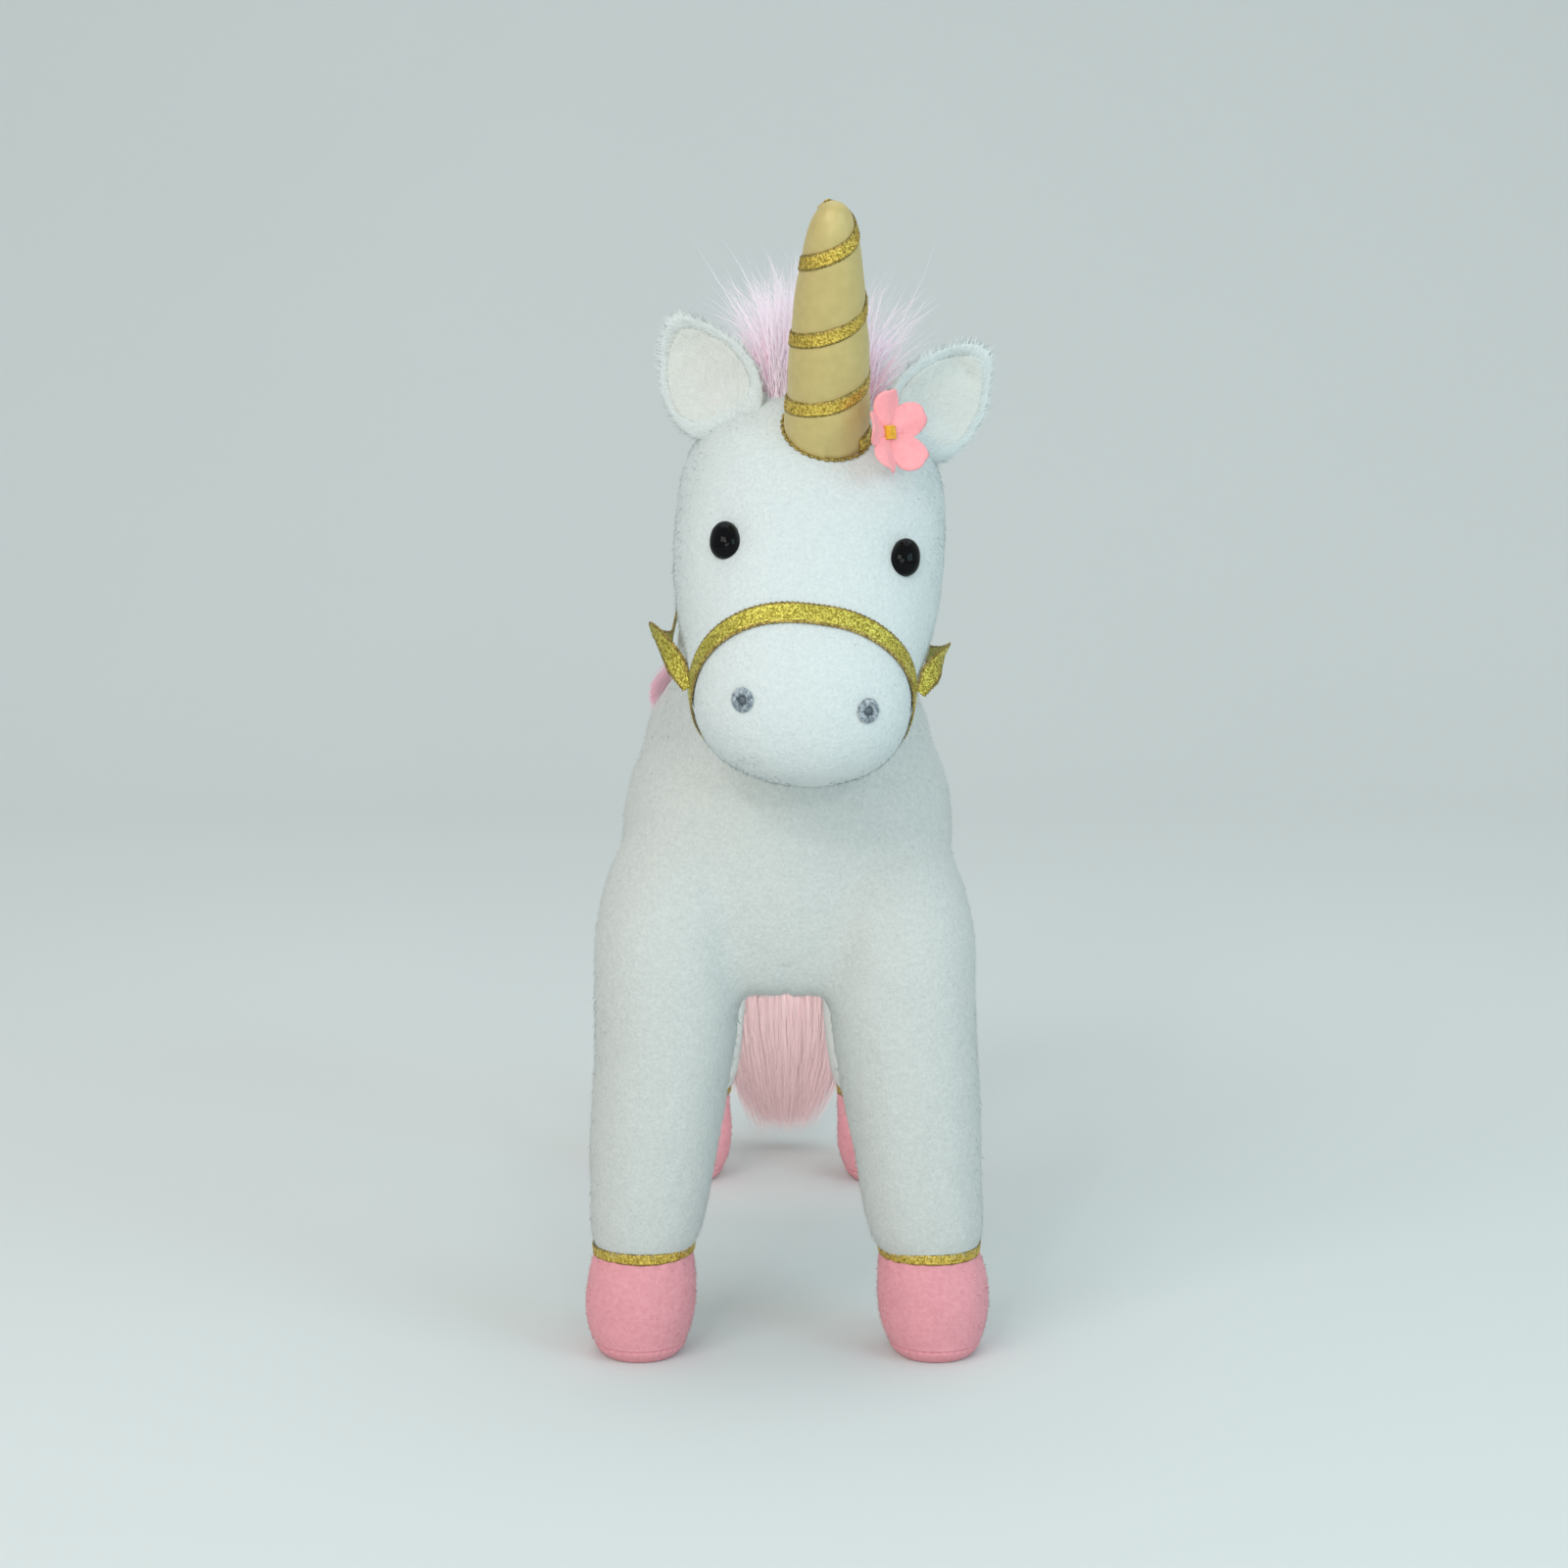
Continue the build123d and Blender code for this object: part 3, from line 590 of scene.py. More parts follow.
items = [by_rows(TORSO, 4, torso_form), by_rows(NECK, 4, neck_form)]
for side in (-1, 1):
    for rows in (FRONT_LEG, HIND_LEG):
        co, q, t = by_rows(rows, 3, leg_form(side), 40)
        if side < 0:
            q, t = q[:, ::-1], t[:, ::-1]
        items.append((co, q, t))
body = solid("body_skin", items, voxel=2.2, smooth_n=14, grow=0.45, sub=0, mat=M_PLUSH)

# small unevenness of the filling, and the sewn seam down the middle of the chest, belly and rump
co, no = coords(body), vert_normals(body)
legs_low = np.clip((60 - co[:, 2]) / 25, 0, 1)
lump = value_noise(co, 26, 5) * 0.55 + value_noise(co, 11, 8) * 0.28
co = co + no * (lump * (1 - 0.5 * legs_low))[:, None]
set_coords(body, co)
m = body.modifiers.new("sub", "SUBSURF")
m.levels = m.render_levels = 1
bake_modifiers(body)
co, no = coords(body), vert_normals(body)
dip = np.zeros(len(co))
mid = np.abs(co[:, 0] - 0.5)
under = (no[:, 2] < -0.35) | ((co[:, 1] > YS + 205) & (co[:, 2] < 160))
dip += np.where(under & (co[:, 2] > 95), 0.7 * np.exp(-(mid / 1.1) ** 2), 0)
for rows, sy in ((FRONT_LEG, 16.0), (HIND_LEG, 210.0)):
    r = spline(rows, 4)
    for side in (-1, 1):
        sel = (np.sign(co[:, 0]) == side) & (np.abs(co[:, 1] - YS - sy) < 34) & (co[:, 2] < 100)
        yc = np.interp(co[:, 2], r[:, 0], r[:, 2]) + YS
        inner = sel & (no[:, 0] * side < -0.2)
        dip += np.where(inner, 0.6 * np.exp(-((co[:, 1] - yc) / 1.0) ** 2), 0)
set_coords(body, co - no * dip[:, None])

CUT_Z = 103.0
NECK_CUT = NF + NU * 12.0
torso_skin = cut_copy(body, "torso_plush", [((0, 0, CUT_Z), (0, 0, 1)), (NECK_CUT, -NU)])
neck_skin = cut_copy(body, "neck_plush", [((0, 0, CUT_Z), (0, 0, 1)), (NECK_CUT, NU)])
LEGS = (("front_left", 1, 16.0, 0), ("front_right", -1, 16.0, 0),
        ("hind_left", 1, 210.0, 1), ("hind_right", -1, 210.0, 1))
leg_skin = {}
for nm, side, s, i in LEGS:
    ys = -1 if i == 0 else 1
    leg_skin[nm] = cut_copy(body, nm + "_leg_plush",
                            [((0, 0, CUT_Z), (0, 0, -1)), ((0, 0, 0), (side, 0, 0)),
                             ((0, 110 + YS, 0), (0, ys, 0))])
fill_torso = filling(body, "torso_filling", [((0, 0, CUT_Z), (0, 0, 1)), (NECK_CUT, -NU)], 3.0)
fill_neck = filling(body, "neck_filling", [((0, 0, CUT_Z), (0, 0, 1)), (NECK_CUT, NU)], 3.0)
fill_leg = {}
for nm, side, s, i in LEGS:
    ys = -1 if i == 0 else 1
    fill_leg[nm] = filling(body, nm + "_leg_filling",
                           [((0, 0, CUT_Z), (0, 0, -1)), ((0, 0, 0), (side, 0, 0)),
                            ((0, 110 + YS, 0), (0, ys, 0))], 2.2)

# ------------------------------------------------------------------ head skin
# (t, half width, half depth in front, half depth behind)
HEAD = [(-32, 3, 3, 3), (-31, 11, 10, 10), (-28, 20.5, 17.5, 18), (-20, 30, 25, 26),
        (-8, 35, 30, 31), (8, 36.4, 32, 32.5), (24, 36.2, 30.8, 32), (38, 34.2, 27.5, 29.5),
        (50, 31.2, 25.0, 26.0), (60, 30.3, 24.6, 24.4), (69, 28.6, 22.2, 21.8), (76, 24.7, 18.4, 18.2),
        (81, 19.3, 13.6, 13.4), (84.3, 12.8, 9.0, 9.0), (86, 6.4, 4.4, 4.4), (86.5, 1.5, 1, 1)]


def head_form(r, n):
    k = len(r)
    c = np.array([H(0, q[0], 0) for q in r])
    return rings(c, [HX] * k, [HN] * k, r[:, 1], r[:, 2], 2.18, n, r[:, 3])


head = solid("head_plush", [by_rows(HEAD, 4, head_form, 64)], voxel=1.8, smooth_n=6, grow=0.3,
             sub=0, mat=M_HEAD_LIT)
co, no = coords(head), vert_normals(head)
co = co + no * (value_noise(co, 24, 11) * 0.4 + value_noise(co, 9, 12) * 0.18)[:, None]
# the noseband pulls the muzzle in along its own plane
NB_O = H(0, 51.5, 25.0)
NB_N = unit(head_dir((0, 0.917, 0.397)))
dist = (co - NB_O) @ NB_N
co = co - no * (1.1 * np.exp(-(dist / 5.5) ** 2))[:, None]
set_coords(head, co)
m = head.modifiers.new("sub", "SUBSURF")
m.levels = m.render_levels = 1
bake_modifiers(head)


def head_tree():
    return BVHTree.FromObject(head, bpy.context.evaluated_depsgraph_get())


tree = head_tree()


def hit_head(x, t, n0=80.0):
    """The head's surface over the point x, t, seen from in front of the face: place and normal, mm."""
    o = H(x, t, n0)
    p, nn, _, _ = tree.ray_cast(Vector(o * MM), Vector(-HN))
    return np.array(p) / MM, unit(np.array(nn))


def near_head(p):
    q, nn, _, _ = tree.find_nearest(Vector(np.asarray(p) * MM))
    return np.array(q) / MM, unit(np.array(nn))


# places of the eyes and nostrils, pressed into the filling a little
EYES = {side: hit_head(side * 23.6, 30.0 + (0.0 if side > 0 else 0.0)) for side in (-1, 1)}
NOSE = {side: hit_head(side * 16.3, 74.5) for side in (-1, 1)}
co, no = coords(head), vert_normals(head)
for side in (-1, 1):
    for (p, nn), r, deep in ((EYES[side], 7.0, 1.1), (NOSE[side], 4.5, 0.6)):
        d = np.linalg.norm(co - p, axis=1)
        co = co - nn[None] * (deep * np.exp(-(d / r) ** 2))[:, None]
set_coords(head, co)
tree = head_tree()
for side in (-1, 1):
    EYES[side] = hit_head(side * 23.6, 30.0)
    NOSE[side] = hit_head(side * 16.3, 74.5)


# ------------------------------------------------------------------ pile on the body
rng = np.random.default_rng(20)
DENS = 1.0
SKINS = []          # (piece, how it moves)


def comb_body(p, n):
    """The nap lies backwards along the torso and down the legs, chest and neck."""
    down = np.array([0, 0, -1.0]) + np.zeros_like(p)
    back = np.array([0, 1.0, -0.35]) + np.zeros_like(p)
    w = np.clip((p[:, 1] - (YS + 20)) / 50, 0, 1) * np.clip((p[:, 2] - 105) / 25, 0, 1)
    w = w[:, None]
    j = np.stack([value_noise(p, 13, 31), value_noise(p, 13, 32), value_noise(p, 13, 33)], 1)
    return down * (1 - w) + back * w + j * 0.55


def fur(name, ob, count, comb, mat, seed, keep=None, **kw):
    r = np.random.default_rng(seed)
    p, n = sample(ob, int(count * DENS), r, keep)
    return pile(name, p, n, comb(p, n), r, mat=mat, **kw)


def move_torso(o):
    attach(o, "torso")


def move_neck(o):
    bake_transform(o)


def mover_leg():
    def f(o):
        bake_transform(o)
    return f


torso_pile = fur("torso_pile", torso_skin, 62000, comb_body, M_PILE, 41)
move_torso(torso_skin)
move_torso(torso_pile)
neck_pile = fur("neck_pile", neck_skin, 20000, comb_body, M_PILE, 42,
                keep=lambda p: ((p - HC) @ NU) < -22)
move_neck(neck_skin)
move_neck(neck_pile)
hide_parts("torso_cover")
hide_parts("neck_cover")
move_torso(fill_torso)
move_neck(fill_neck)
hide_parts("torso_stuffing")
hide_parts("neck_stuffing")
leg_pile = {}
for k, (nm, side, s, i) in enumerate(LEGS):
    mv = mover_leg()
    leg_pile[nm] = fur(nm + "_leg_pile", leg_skin[nm], 21000 if i == 0 else 15000, comb_body,
                       M_PILE, 50 + k, keep=lambda p: p[:, 2] > 32.0)
    mv(leg_skin[nm])
    mv(leg_pile[nm])
    mv(fill_leg[nm])
    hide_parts(nm + "_leg_stuffing")
    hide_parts(nm + "_leg_cover")
drop(body)


# ------------------------------------------------------------------ hooves
HOOF = [(3.4, 41.6, 5, 5), (3.5, 41.6, 12.4, 14.3), (4.8, 41.6, 13.6, 15.3),
        (8, 41.6, 14.7, 15.9), (13, 41.5, 15.6, 16.4), (18, 41.3, 15.7, 16.4),
        (23, 41.0, 15.3, 15.9), (27, 40.6, 14.6, 15.0), (29.6, 40.3, 13.9, 14.2),
        (31.5, 40.2, 13.3, 13.5), (32.6, 40.2, 11, 11.2), (32.8, 40.2, 3, 3)]
SOLE_F = [(0.0, 41.6, 3, 3), (0.0, 41.6, 9.9, 12.1), (0.7, 41.6, 11.4, 13.7),
          (2.0, 41.6, 12.5, 14.7), (3.4, 41.6, 13.0, 15.0), (4.1, 41.6, 11.2, 13.0),
          (4.2, 41.6, 3, 3)]
HIND_SHIFT = 7.6


def foot_form(rows, side, s, i, m=3, n=72):
    r = spline(rows, m)
    r[:, 0] = np.clip(r[:, 0], rows[0][0], rows[-1][0])
    r[:, 1] -= HIND_SHIFT * i
    k = len(r)
    out = FOOT_OUT[(side, i == 1)]
    c = np.array([P(side * q[1] + out * (1 - q[0] / 110), s, q[0]) for q in r])
    co, q, t = rings(c, [X1 * side] * k, [Y1] * k, r[:, 2], r[:, 3], 2.12, n)
    if side < 0:
        q, t = q[:, ::-1], t[:, ::-1]
    return co, q, t


def comb_hoof(p, n):
    j = np.stack([value_noise(p, 8, 31), value_noise(p, 8, 32), value_noise(p, 8, 33)], 1)
    return np.array([0, 0, -1.0]) + j * 0.9


for k, (nm, side, s, i) in enumerate(LEGS):
    hoof = make(nm + "_hoof_felt", *foot_form(HOOF, side, s, i), M_HOOF)
    m = hoof.modifiers.new("sub", "SUBSURF")
    m.levels = m.render_levels = 1
    bake_modifiers(hoof)
    co, no = coords(hoof), vert_normals(hoof)
    c0 = P(side * (41.0 - HIND_SHIFT * i) + FOOT_OUT[(side, i == 1)] * 0.85, s, 0)
    ang = np.arctan2(co[:, 1] - c0[1], co[:, 0] - c0[0])
    mid = np.clip((co[:, 2] - 3.5) / 5, 0, 1)
    # filling's unevenness, gathers under the ribbon and the back seam
    co = co + no * (value_noise(co, 9, 60 + k) * 0.5 * mid)[:, None]
    gather = np.clip((co[:, 2] - 23) / 6, 0, 1)
    co = co + no * (0.16 * np.sin(ang * 17 + 2 * value_noise(co, 14, 70)) * gather)[:, None]
    back = np.abs((ang - math.pi / 2 + math.pi) % (2 * math.pi) - math.pi) * 15
    co = co - no * (0.7 * np.exp(-(back / 0.9) ** 2) * mid)[:, None]
    set_coords(hoof, co)
    sole = make(nm + "_hoof_base", *foot_form(SOLE_F, side, s, i), M_SOLE)
    m = sole.modifiers.new("sub", "SUBSURF")
    m.levels = m.render_levels = 1
    bake_modifiers(sole)
    co, no = coords(sole), vert_normals(sole)
    ang = np.arctan2(co[:, 1] - c0[1], co[:, 0] - c0[0])
    rim = np.exp(-((co[:, 2] - 3.0) / 1.2) ** 2)
    co = co + no * (0.22 * np.sin(ang * 40) * rim)[:, None]
    co[:, 2] = np.maximum(co[:, 2], 0.05)
    set_coords(sole, co)
    nap = fur(nm + "_hoof_nap", hoof, 9000, comb_hoof, M_HOOF_PILE, 80 + k,
              keep=lambda p: (p[:, 2] > 4) & (p[:, 2] < 30.5), length=1.15, width=0.22, lift=0.5,
              mess=0.7)
    sole_nap = fur(nm + "_hoof_base_nap", sole, 2500, comb_hoof, M_HOOF_PILE, 90 + k,
                   keep=lambda p: (p[:, 2] > 0.9) & (p[:, 2] < 3.6), length=0.9, width=0.2,
                   lift=0.6, mess=0.7)
    for o in (hoof, nap, sole, sole_nap):
        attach(o, nm + "_leg")
    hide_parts(nm + "_hoof")
    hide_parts(nm + "_hoof_sole")
    leg_pile[nm + "_nap"] = (nap, sole_nap)


# ------------------------------------------------------------------ ribbons
def ribbon(name, path, broad, nrm, width, mat, edge_mat=None, thick=0.35, cols=9, picot=0.0,
           picot_mm=1.5, rib=0.12, closed=False, twist=None):
    """A woven ribbon along path: broad is across it, nrm out of its face. Edges carry little picot loops."""
    path = np.asarray(path, float)
    m = len(path)
    broad = np.broadcast_to(np.asarray(broad, float), path.shape)
    nrm = np.broadcast_to(np.asarray(nrm, float), path.shape)
    seg = np.linalg.norm(np.diff(path, axis=0, append=path[:1] if closed else path[-1:]), axis=1)
    ln = np.concatenate([[0], np.cumsum(seg)[:-1]])
    u = np.linspace(-1, 1, cols)
    top, bot = [], []
    for j in u:
        w = width / 2 * j
        if picot and abs(j) > 0.99:
            w = w + np.sign(j) * picot * (0.5 + 0.5 * np.sign(np.sin(2 * math.pi * ln / picot_mm))
                                          * np.abs(np.sin(2 * math.pi * ln / picot_mm)) ** 0.5)
        w = np.broadcast_to(w, (m,))[:, None]
        h = rib * (math.cos(j * math.pi * 3) * 0.5 + 0.5) + 0.10 * np.sin(2 * math.pi * ln / 0.9)
        h = np.broadcast_to(h, (m,))[:, None]
        e = 0.45 if abs(j) > 0.99 else 1.0
        top.append(path + broad * w + nrm * (thick / 2 * e + h * e))
        bot.append(path + broad * w - nrm * (thick / 2 * e))
    loop = np.stack(top + bot[::-1], 1)
    k = 2 * cols
    co = loop.reshape(-1, 3)
    rows = m if closed else m - 1
    i = np.arange(rows)[:, None]
    j = np.arange(k)[None, :]
    i2 = (i + 1) % m
    q = np.stack([np.broadcast_to(i * k + j, (rows, k)), np.broadcast_to(i * k + (j + 1) % k, (rows, k)),
                  i2 * k + (j + 1) % k, i2 * k + np.broadcast_to(j, (rows, k))], 2).reshape(-1, 4)
    if not closed:
        caps = []
        for base in (0, (m - 1) * k):
            for a in range(cols - 1):
                f = [base + a, base + k - 1 - a, base + k - 2 - a, base + a + 1]
                caps.append(f if base == 0 else f[::-1])
        q = np.vstack([q, np.array(caps)])
    ob = make(name, co, q, None, mat)
    if edge_mat is not None:
        ob.data.materials.append(edge_mat)
        idx = np.zeros(len(ob.data.polygons), np.int32)
        jj = np.tile(np.arange(k), rows)
        edge = (jj <= 0) | (jj == cols - 2) | (jj == cols - 1) | (jj == cols) | (jj >= k - 2)
        idx[:len(jj)] = edge
        ob.data.polygons.foreach_set("material_index", idx)
    bm = bmesh.new()
    bm.from_mesh(ob.data)
    bmesh.ops.recalc_face_normals(bm, faces=bm.faces)
    bm.to_mesh(ob.data)
    bm.free()
    ob.data.update()
    return ob


# round each leg's end, a little wavy
for k, (nm, side, s, i) in enumerate(LEGS):
    n = 220
    a = np.linspace(0, 2 * math.pi, n, endpoint=False)
    c = P(side * (40.3 - HIND_SHIFT * i) + FOOT_OUT[(side, i == 1)] * 0.72, s, 30.9)
    tilt = 0.45 * np.sin(a + k) + 0.18 * np.sin(3 * a + 2 * k)
    rad = np.stack([np.cos(a) * 14.15, np.sin(a) * 14.35, tilt], 1)
    path = c + rad
    nrm = unit(np.stack([np.cos(a), np.sin(a), 0 * a], 1))
    band = ribbon(nm + "_hoof_trim", path + nrm * 0.25, Z1 + nrm * 0.10, nrm, 3.3, M_GOLD_WARM,
                  M_GOLD_EDGE, 0.5, 9, picot=0.05, picot_mm=1.0, closed=True)
    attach(band, nm + "_leg")
    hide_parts(nm + "_hoof_ribbon")

# ------------------------------------------------------------------ noseband
th = np.linspace(0, 2 * math.pi, 420, endpoint=False)
e1 = HX
e2 = unit(np.cross(NB_N, e1))
nb_c = H(0, 51.0, 0) - NB_N * ((H(0, 51.0, 0) - NB_O) @ NB_N)
pts, nrs = [], []
for a in th:
    d = e1 * math.cos(a) + e2 * math.sin(a)
    p, nn, _, _ = tree.ray_cast(Vector((nb_c + d * 80) * MM), Vector(-d))
    pts.append(np.array(p) / MM)
    nrs.append(np.array(nn))
pts, nrs = np.array(pts), unit(np.array(nrs))
for _ in range(6):
    pts = (pts + np.roll(pts, 1, 0) + np.roll(pts, -1, 0)) / 3
    nrs = unit(nrs + np.roll(nrs, 1, 0) + np.roll(nrs, -1, 0))
tang = unit(np.roll(pts, -1, 0) - np.roll(pts, 1, 0))
broad = unit(np.cross(nrs, tang))
nrs2 = unit(np.cross(tang, broad))
noseband = ribbon("nose_ribbon", pts + nrs2 * 0.75, broad, nrs2, 6.0, M_GOLD, M_GOLD_EDGE, 0.45, 11,
                  picot=0.35, picot_mm=1.35, rib=0.16, closed=True)
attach(noseband, "head")
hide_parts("noseband")


# ------------------------------------------------------------------ cheek straps
def hermite(points, m):
    return spline(points, m)


STRAPS = {
    -1: [(-25.6, -36.5, 198.0), (-28.2, -31, 202.6), (-31.6, -24, 207.4), (-34.8, -17, 210.8),
         (-35.8, -9, 210.2), (-33.6, 2, 207.3), (-31.4, 14, 205.6), (-31.0, 26, 207.6),
         (-28.8, 37, 215.0), (-21, 45.5, 228.0), (-8, 51, 236.5), (3, 52.4, 238.0)],
    1: [(36.2, -36.5, 196.6), (38.6, -31, 200.2), (41.4, -24, 203.4), (43.6, -16, 205.4),
        (43.8, -8, 204.6), (41.2, 3, 202.6), (39.4, 14, 202.2), (38.8, 26, 205.6),
        (36.6, 37, 214.0), (29, 45.5, 227.0), (16, 51, 236.0), (3, 52.4, 238.0)]}
strap_ob = {}
for side in (-1, 1):
    path = hermite([P(*q) for q in STRAPS[side]], 22)
    tang = unit(np.gradient(path, axis=0))
    f = np.linspace(0, 1, len(path))
    # broad face to the front at the noseband, then turning to lie along the neck
    face0 = np.array([side * 0.35, -0.86, 0.30])
    out = unit(path - (NF + NU * ((path - NF) @ NU)[:, None]))
    w = np.clip((f - 0.08) / 0.22, 0, 1)
    w = (w * w * (3 - 2 * w))[:, None]
    nrm = unit(face0 * (1 - w) + out * w)
    nrm = unit(nrm - tang * np.sum(nrm * tang, 1, keepdims=True))
    br = np.cross(tang, nrm) * -side
    ob = ribbon("rein_" + ("left" if side > 0 else "right"), path, br, nrm,
                np.interp(f, [0, 0.03, 0.10, 0.20, 0.3, 1], [2.6, 3.6, 5.8, 4.9, 4.4, 4.8]), M_GOLD,
                M_GOLD_EDGE, 0.4, 9, picot=0.3, picot_mm=1.35)
    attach(ob, "head")
    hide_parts("cheek_strap_" + ("left" if side > 0 else "right"))
    strap_ob[side] = ob

# ------------------------------------------------------------------ eyes and nostrils
def frame_on(n, along):
    v = unit(along - n * np.dot(along, n))
    return unit(np.cross(v, n)), v, n


def lathe(name, origin, fr, profile, n=64, mat=None, bulge=None):
    """profile is (radius, height) pairs turned about fr's third axis. bulge scales the radius by angle and height."""
    u, v, w = fr
    a = np.linspace(0, 2 * math.pi, n, endpoint=False)
    co = []
    for r, h in profile:
        rr = r * (bulge(a, h) if bulge else np.ones(n))
        co.append(origin + np.outer(rr * np.cos(a), u) + np.outer(rr * np.sin(a), v) + w * h)
    m = len(profile)
    co = np.vstack(co)
    i = np.arange(n)
    q = np.vstack([np.stack([k * n + i, k * n + (i + 1) % n, (k + 1) * n + (i + 1) % n,
                             (k + 1) * n + i], 1) for k in range(m - 1)])
    co = np.vstack([co, origin + w * profile[0][1], origin + w * profile[-1][1]])
    t = np.vstack([np.stack([(i + 1) % n, i, np.full(n, m * n)], 1),
                   np.stack([(m - 1) * n + i, (m - 1) * n + (i + 1) % n, np.full(n, m * n + 1)], 1)])
    ob = make(name, co, q, t, mat)
    bm = bmesh.new()
    bm.from_mesh(ob.data)
    bmesh.ops.recalc_face_normals(bm, faces=bm.faces)
    bm.to_mesh(ob.data)
    bm.free()
    return ob


fibre_seats = []
for side, nm in ((1, "left"), (-1, "right")):
    p, n = EYES[side]
    fr = frame_on(n, HH)
    prof = [(0.6, -1.2), (4.6, -1.2), (5.15, -0.7), (5.3, 0.0), (5.25, 0.5)]
    prof += [(5.25 * math.cos(b), 0.5 + 3.5 * math.sin(b)) for b in np.radians(np.arange(6, 90, 6))]
    prof += [(0.05, 4.0)]
    eye = lathe("eye_dome_" + nm, p + n * 0.45, fr, prof, 72, M_EYE,
                lambda a, h: 0.90 - 0.11 * np.cos(2 * a) + 0.02 * np.sin(3 * a))
    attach(eye, "head")
    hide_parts("eye_" + nm)
    fibre_seats.append((p, 5.6))

    p, n = NOSE[side]
    fr = frame_on(n, HH)
    # ring of wound metallic thread
    seg_co, seg_q = [], []
    turns, per = 40, 10
    m = turns * per
    a = np.linspace(0, 2 * math.pi, m, endpoint=False)
    tube = np.linspace(0, 2 * math.pi, per, endpoint=False)
    R, r = 2.05, 0.98
    cc = []
    for k in range(m):
        rr = r * (1 + 0.13 * math.sin(a[k] * turns))
        ring = (R + rr * np.cos(tube)) * (1.0)
        cc.append(p + np.outer(ring * math.cos(a[k]), fr[0]) + np.outer(ring * math.sin(a[k]) * 1.08, fr[1])
                  + np.outer(0.45 + rr * 0.85 * np.sin(tube), fr[2]))
    cc = np.vstack(cc)
    i = np.arange(m)[:, None]
    j = np.arange(per)[None, :]
    q = np.stack([i * per + j, ((i + 1) % m) * per + j, ((i + 1) % m) * per + (j + 1) % per,
                  i * per + (j + 1) % per], 2).reshape(-1, 4)
    ring = make("nostril_ring_" + nm, cc, q, None, M_SILVER)
    bead = lathe("nostril_bead_" + nm, p + n * 0.1, fr,
                 [(0.3, -0.8), (1.2, -0.7), (1.3, 0.0), (1.2, 0.4), (0.9, 0.75), (0.5, 0.9), (0.05, 0.95)],
                 40, M_BEAD)
    for o in (ring, bead):
        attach(o, "head")
    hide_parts("nostril_" + nm)
    fibre_seats.append((p, 3.9))

# ------------------------------------------------------------------ head pile
horn_o = H(1.0, -3.5, 29.0)
horn_w = unit(np.array([0.02, -math.sin(math.radians(25)), math.cos(math.radians(25))]))
MT = P(9.5, 12, 262)
NB_HALF = 3.3


def keep_head(p):
    ok = np.abs((p - NB_O) @ NB_N) > NB_HALF - 0.4
    for c, r in fibre_seats:
        ok &= np.linalg.norm(p - c, axis=1) > r - 0.6
    d = p - horn_o
    rad = np.linalg.norm(d - np.outer(d @ horn_w, horn_w), axis=1)
    ok &= ~((rad < 11.0) & (d @ horn_w > -14) & (d @ horn_w < 12))
    return ok


def comb_head(p, n):
    """From the nose up and back over the skull, parting down the face's sides."""
    j = np.stack([value_noise(p, 9, 21), value_noise(p, 9, 22), value_noise(p, 9, 23)], 1)
    side = ((p - HC) @ HX)[:, None] / 36.0
    return HH * 0.6 + np.array([0, 0, -0.55]) + HX * side * 0.4 + j * 0.8


head_pile = fur("head_pile", head, 50000, comb_head, M_HEAD_PILE_LIT, 43, keep=keep_head,
                length=1.9, width=0.23, lift=0.30, mess=0.26)
fill_head = filling(head, "head_filling", [], 3.0, 0.10)
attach(fill_head, "head")
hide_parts("head_stuffing")
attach(head, "head")
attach(head_pile, "head")
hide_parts("head_cover")

# ------------------------------------------------------------------ ears
EARS = {
    1: (np.array([35.0318, -101.444, 262.786]), np.array([0.615434, 0.073518, 0.784752]),
        np.array([0.291612, -0.946229, -0.140049])),
    -1: (np.array([-15.2164, -103.648, 267.624]), np.array([-0.458732, 0.026402, 0.888183]),
         np.array([-0.229737, -0.969097, -0.089848]))}
EAR_OUT = [(-4.2, 5.0, 1.2), (-2.5, 9.5, 2.6), (1.0, 12.4, 3.0), (6.0, 13.8, 2.9), (11, 13.8, 2.7),
           (16, 12.5, 2.4), (21, 10.0, 2.1), (25.5, 7.0, 1.9), (28.8, 4.0, 1.5), (30.4, 1.5, 0.8)]
EAR_IN = [(0.5, 3.8, 0.4), (2.5, 8.0, 0.9), (6.0, 10.9, 1.0), (11, 11.1, 1.0), (16, 9.9, 0.9),
          (20.5, 7.5, 0.8), (24.7, 4.2, 0.7), (26.8, 1.2, 0.3)]


def ear_form(rows, side, lift, m=5, n=44):
    base, up, face = EARS[side]
    across = np.cross(up, face)
    r = spline(rows, m)
    r[:, 1:] = np.maximum(r[:, 1:], 0.15)
    k = len(r)
    c = np.array([base + up * q[0] for q in r])
    co, q, t = rings(c, [across] * k, [face] * k, r[:, 1], r[:, 2], 2.0, n)
    x = (co - base) @ across
    y = (co - base) @ up
    w = np.interp(y, [q0[0] for q0 in EAR_OUT], [q0[1] for q0 in EAR_OUT])
    rel = np.clip(x / np.maximum(w, 3.0), -1.2, 1.2)
    cup = -2.7 * (1 - rel ** 2) * np.clip(y / 8, 0, 1) * np.clip((32 - y) / 10, 0, 1)
    tip = 0.004 * np.maximum(y - 8, 0) ** 2
    # the inner edge rolls forward
    roll = 1.6 * np.clip(-rel * side, 0, 1) ** 2 * np.clip((24 - y) / 12, 0, 1)
    co = co + np.outer(cup + tip + roll + lift, face)
    return co, q, t


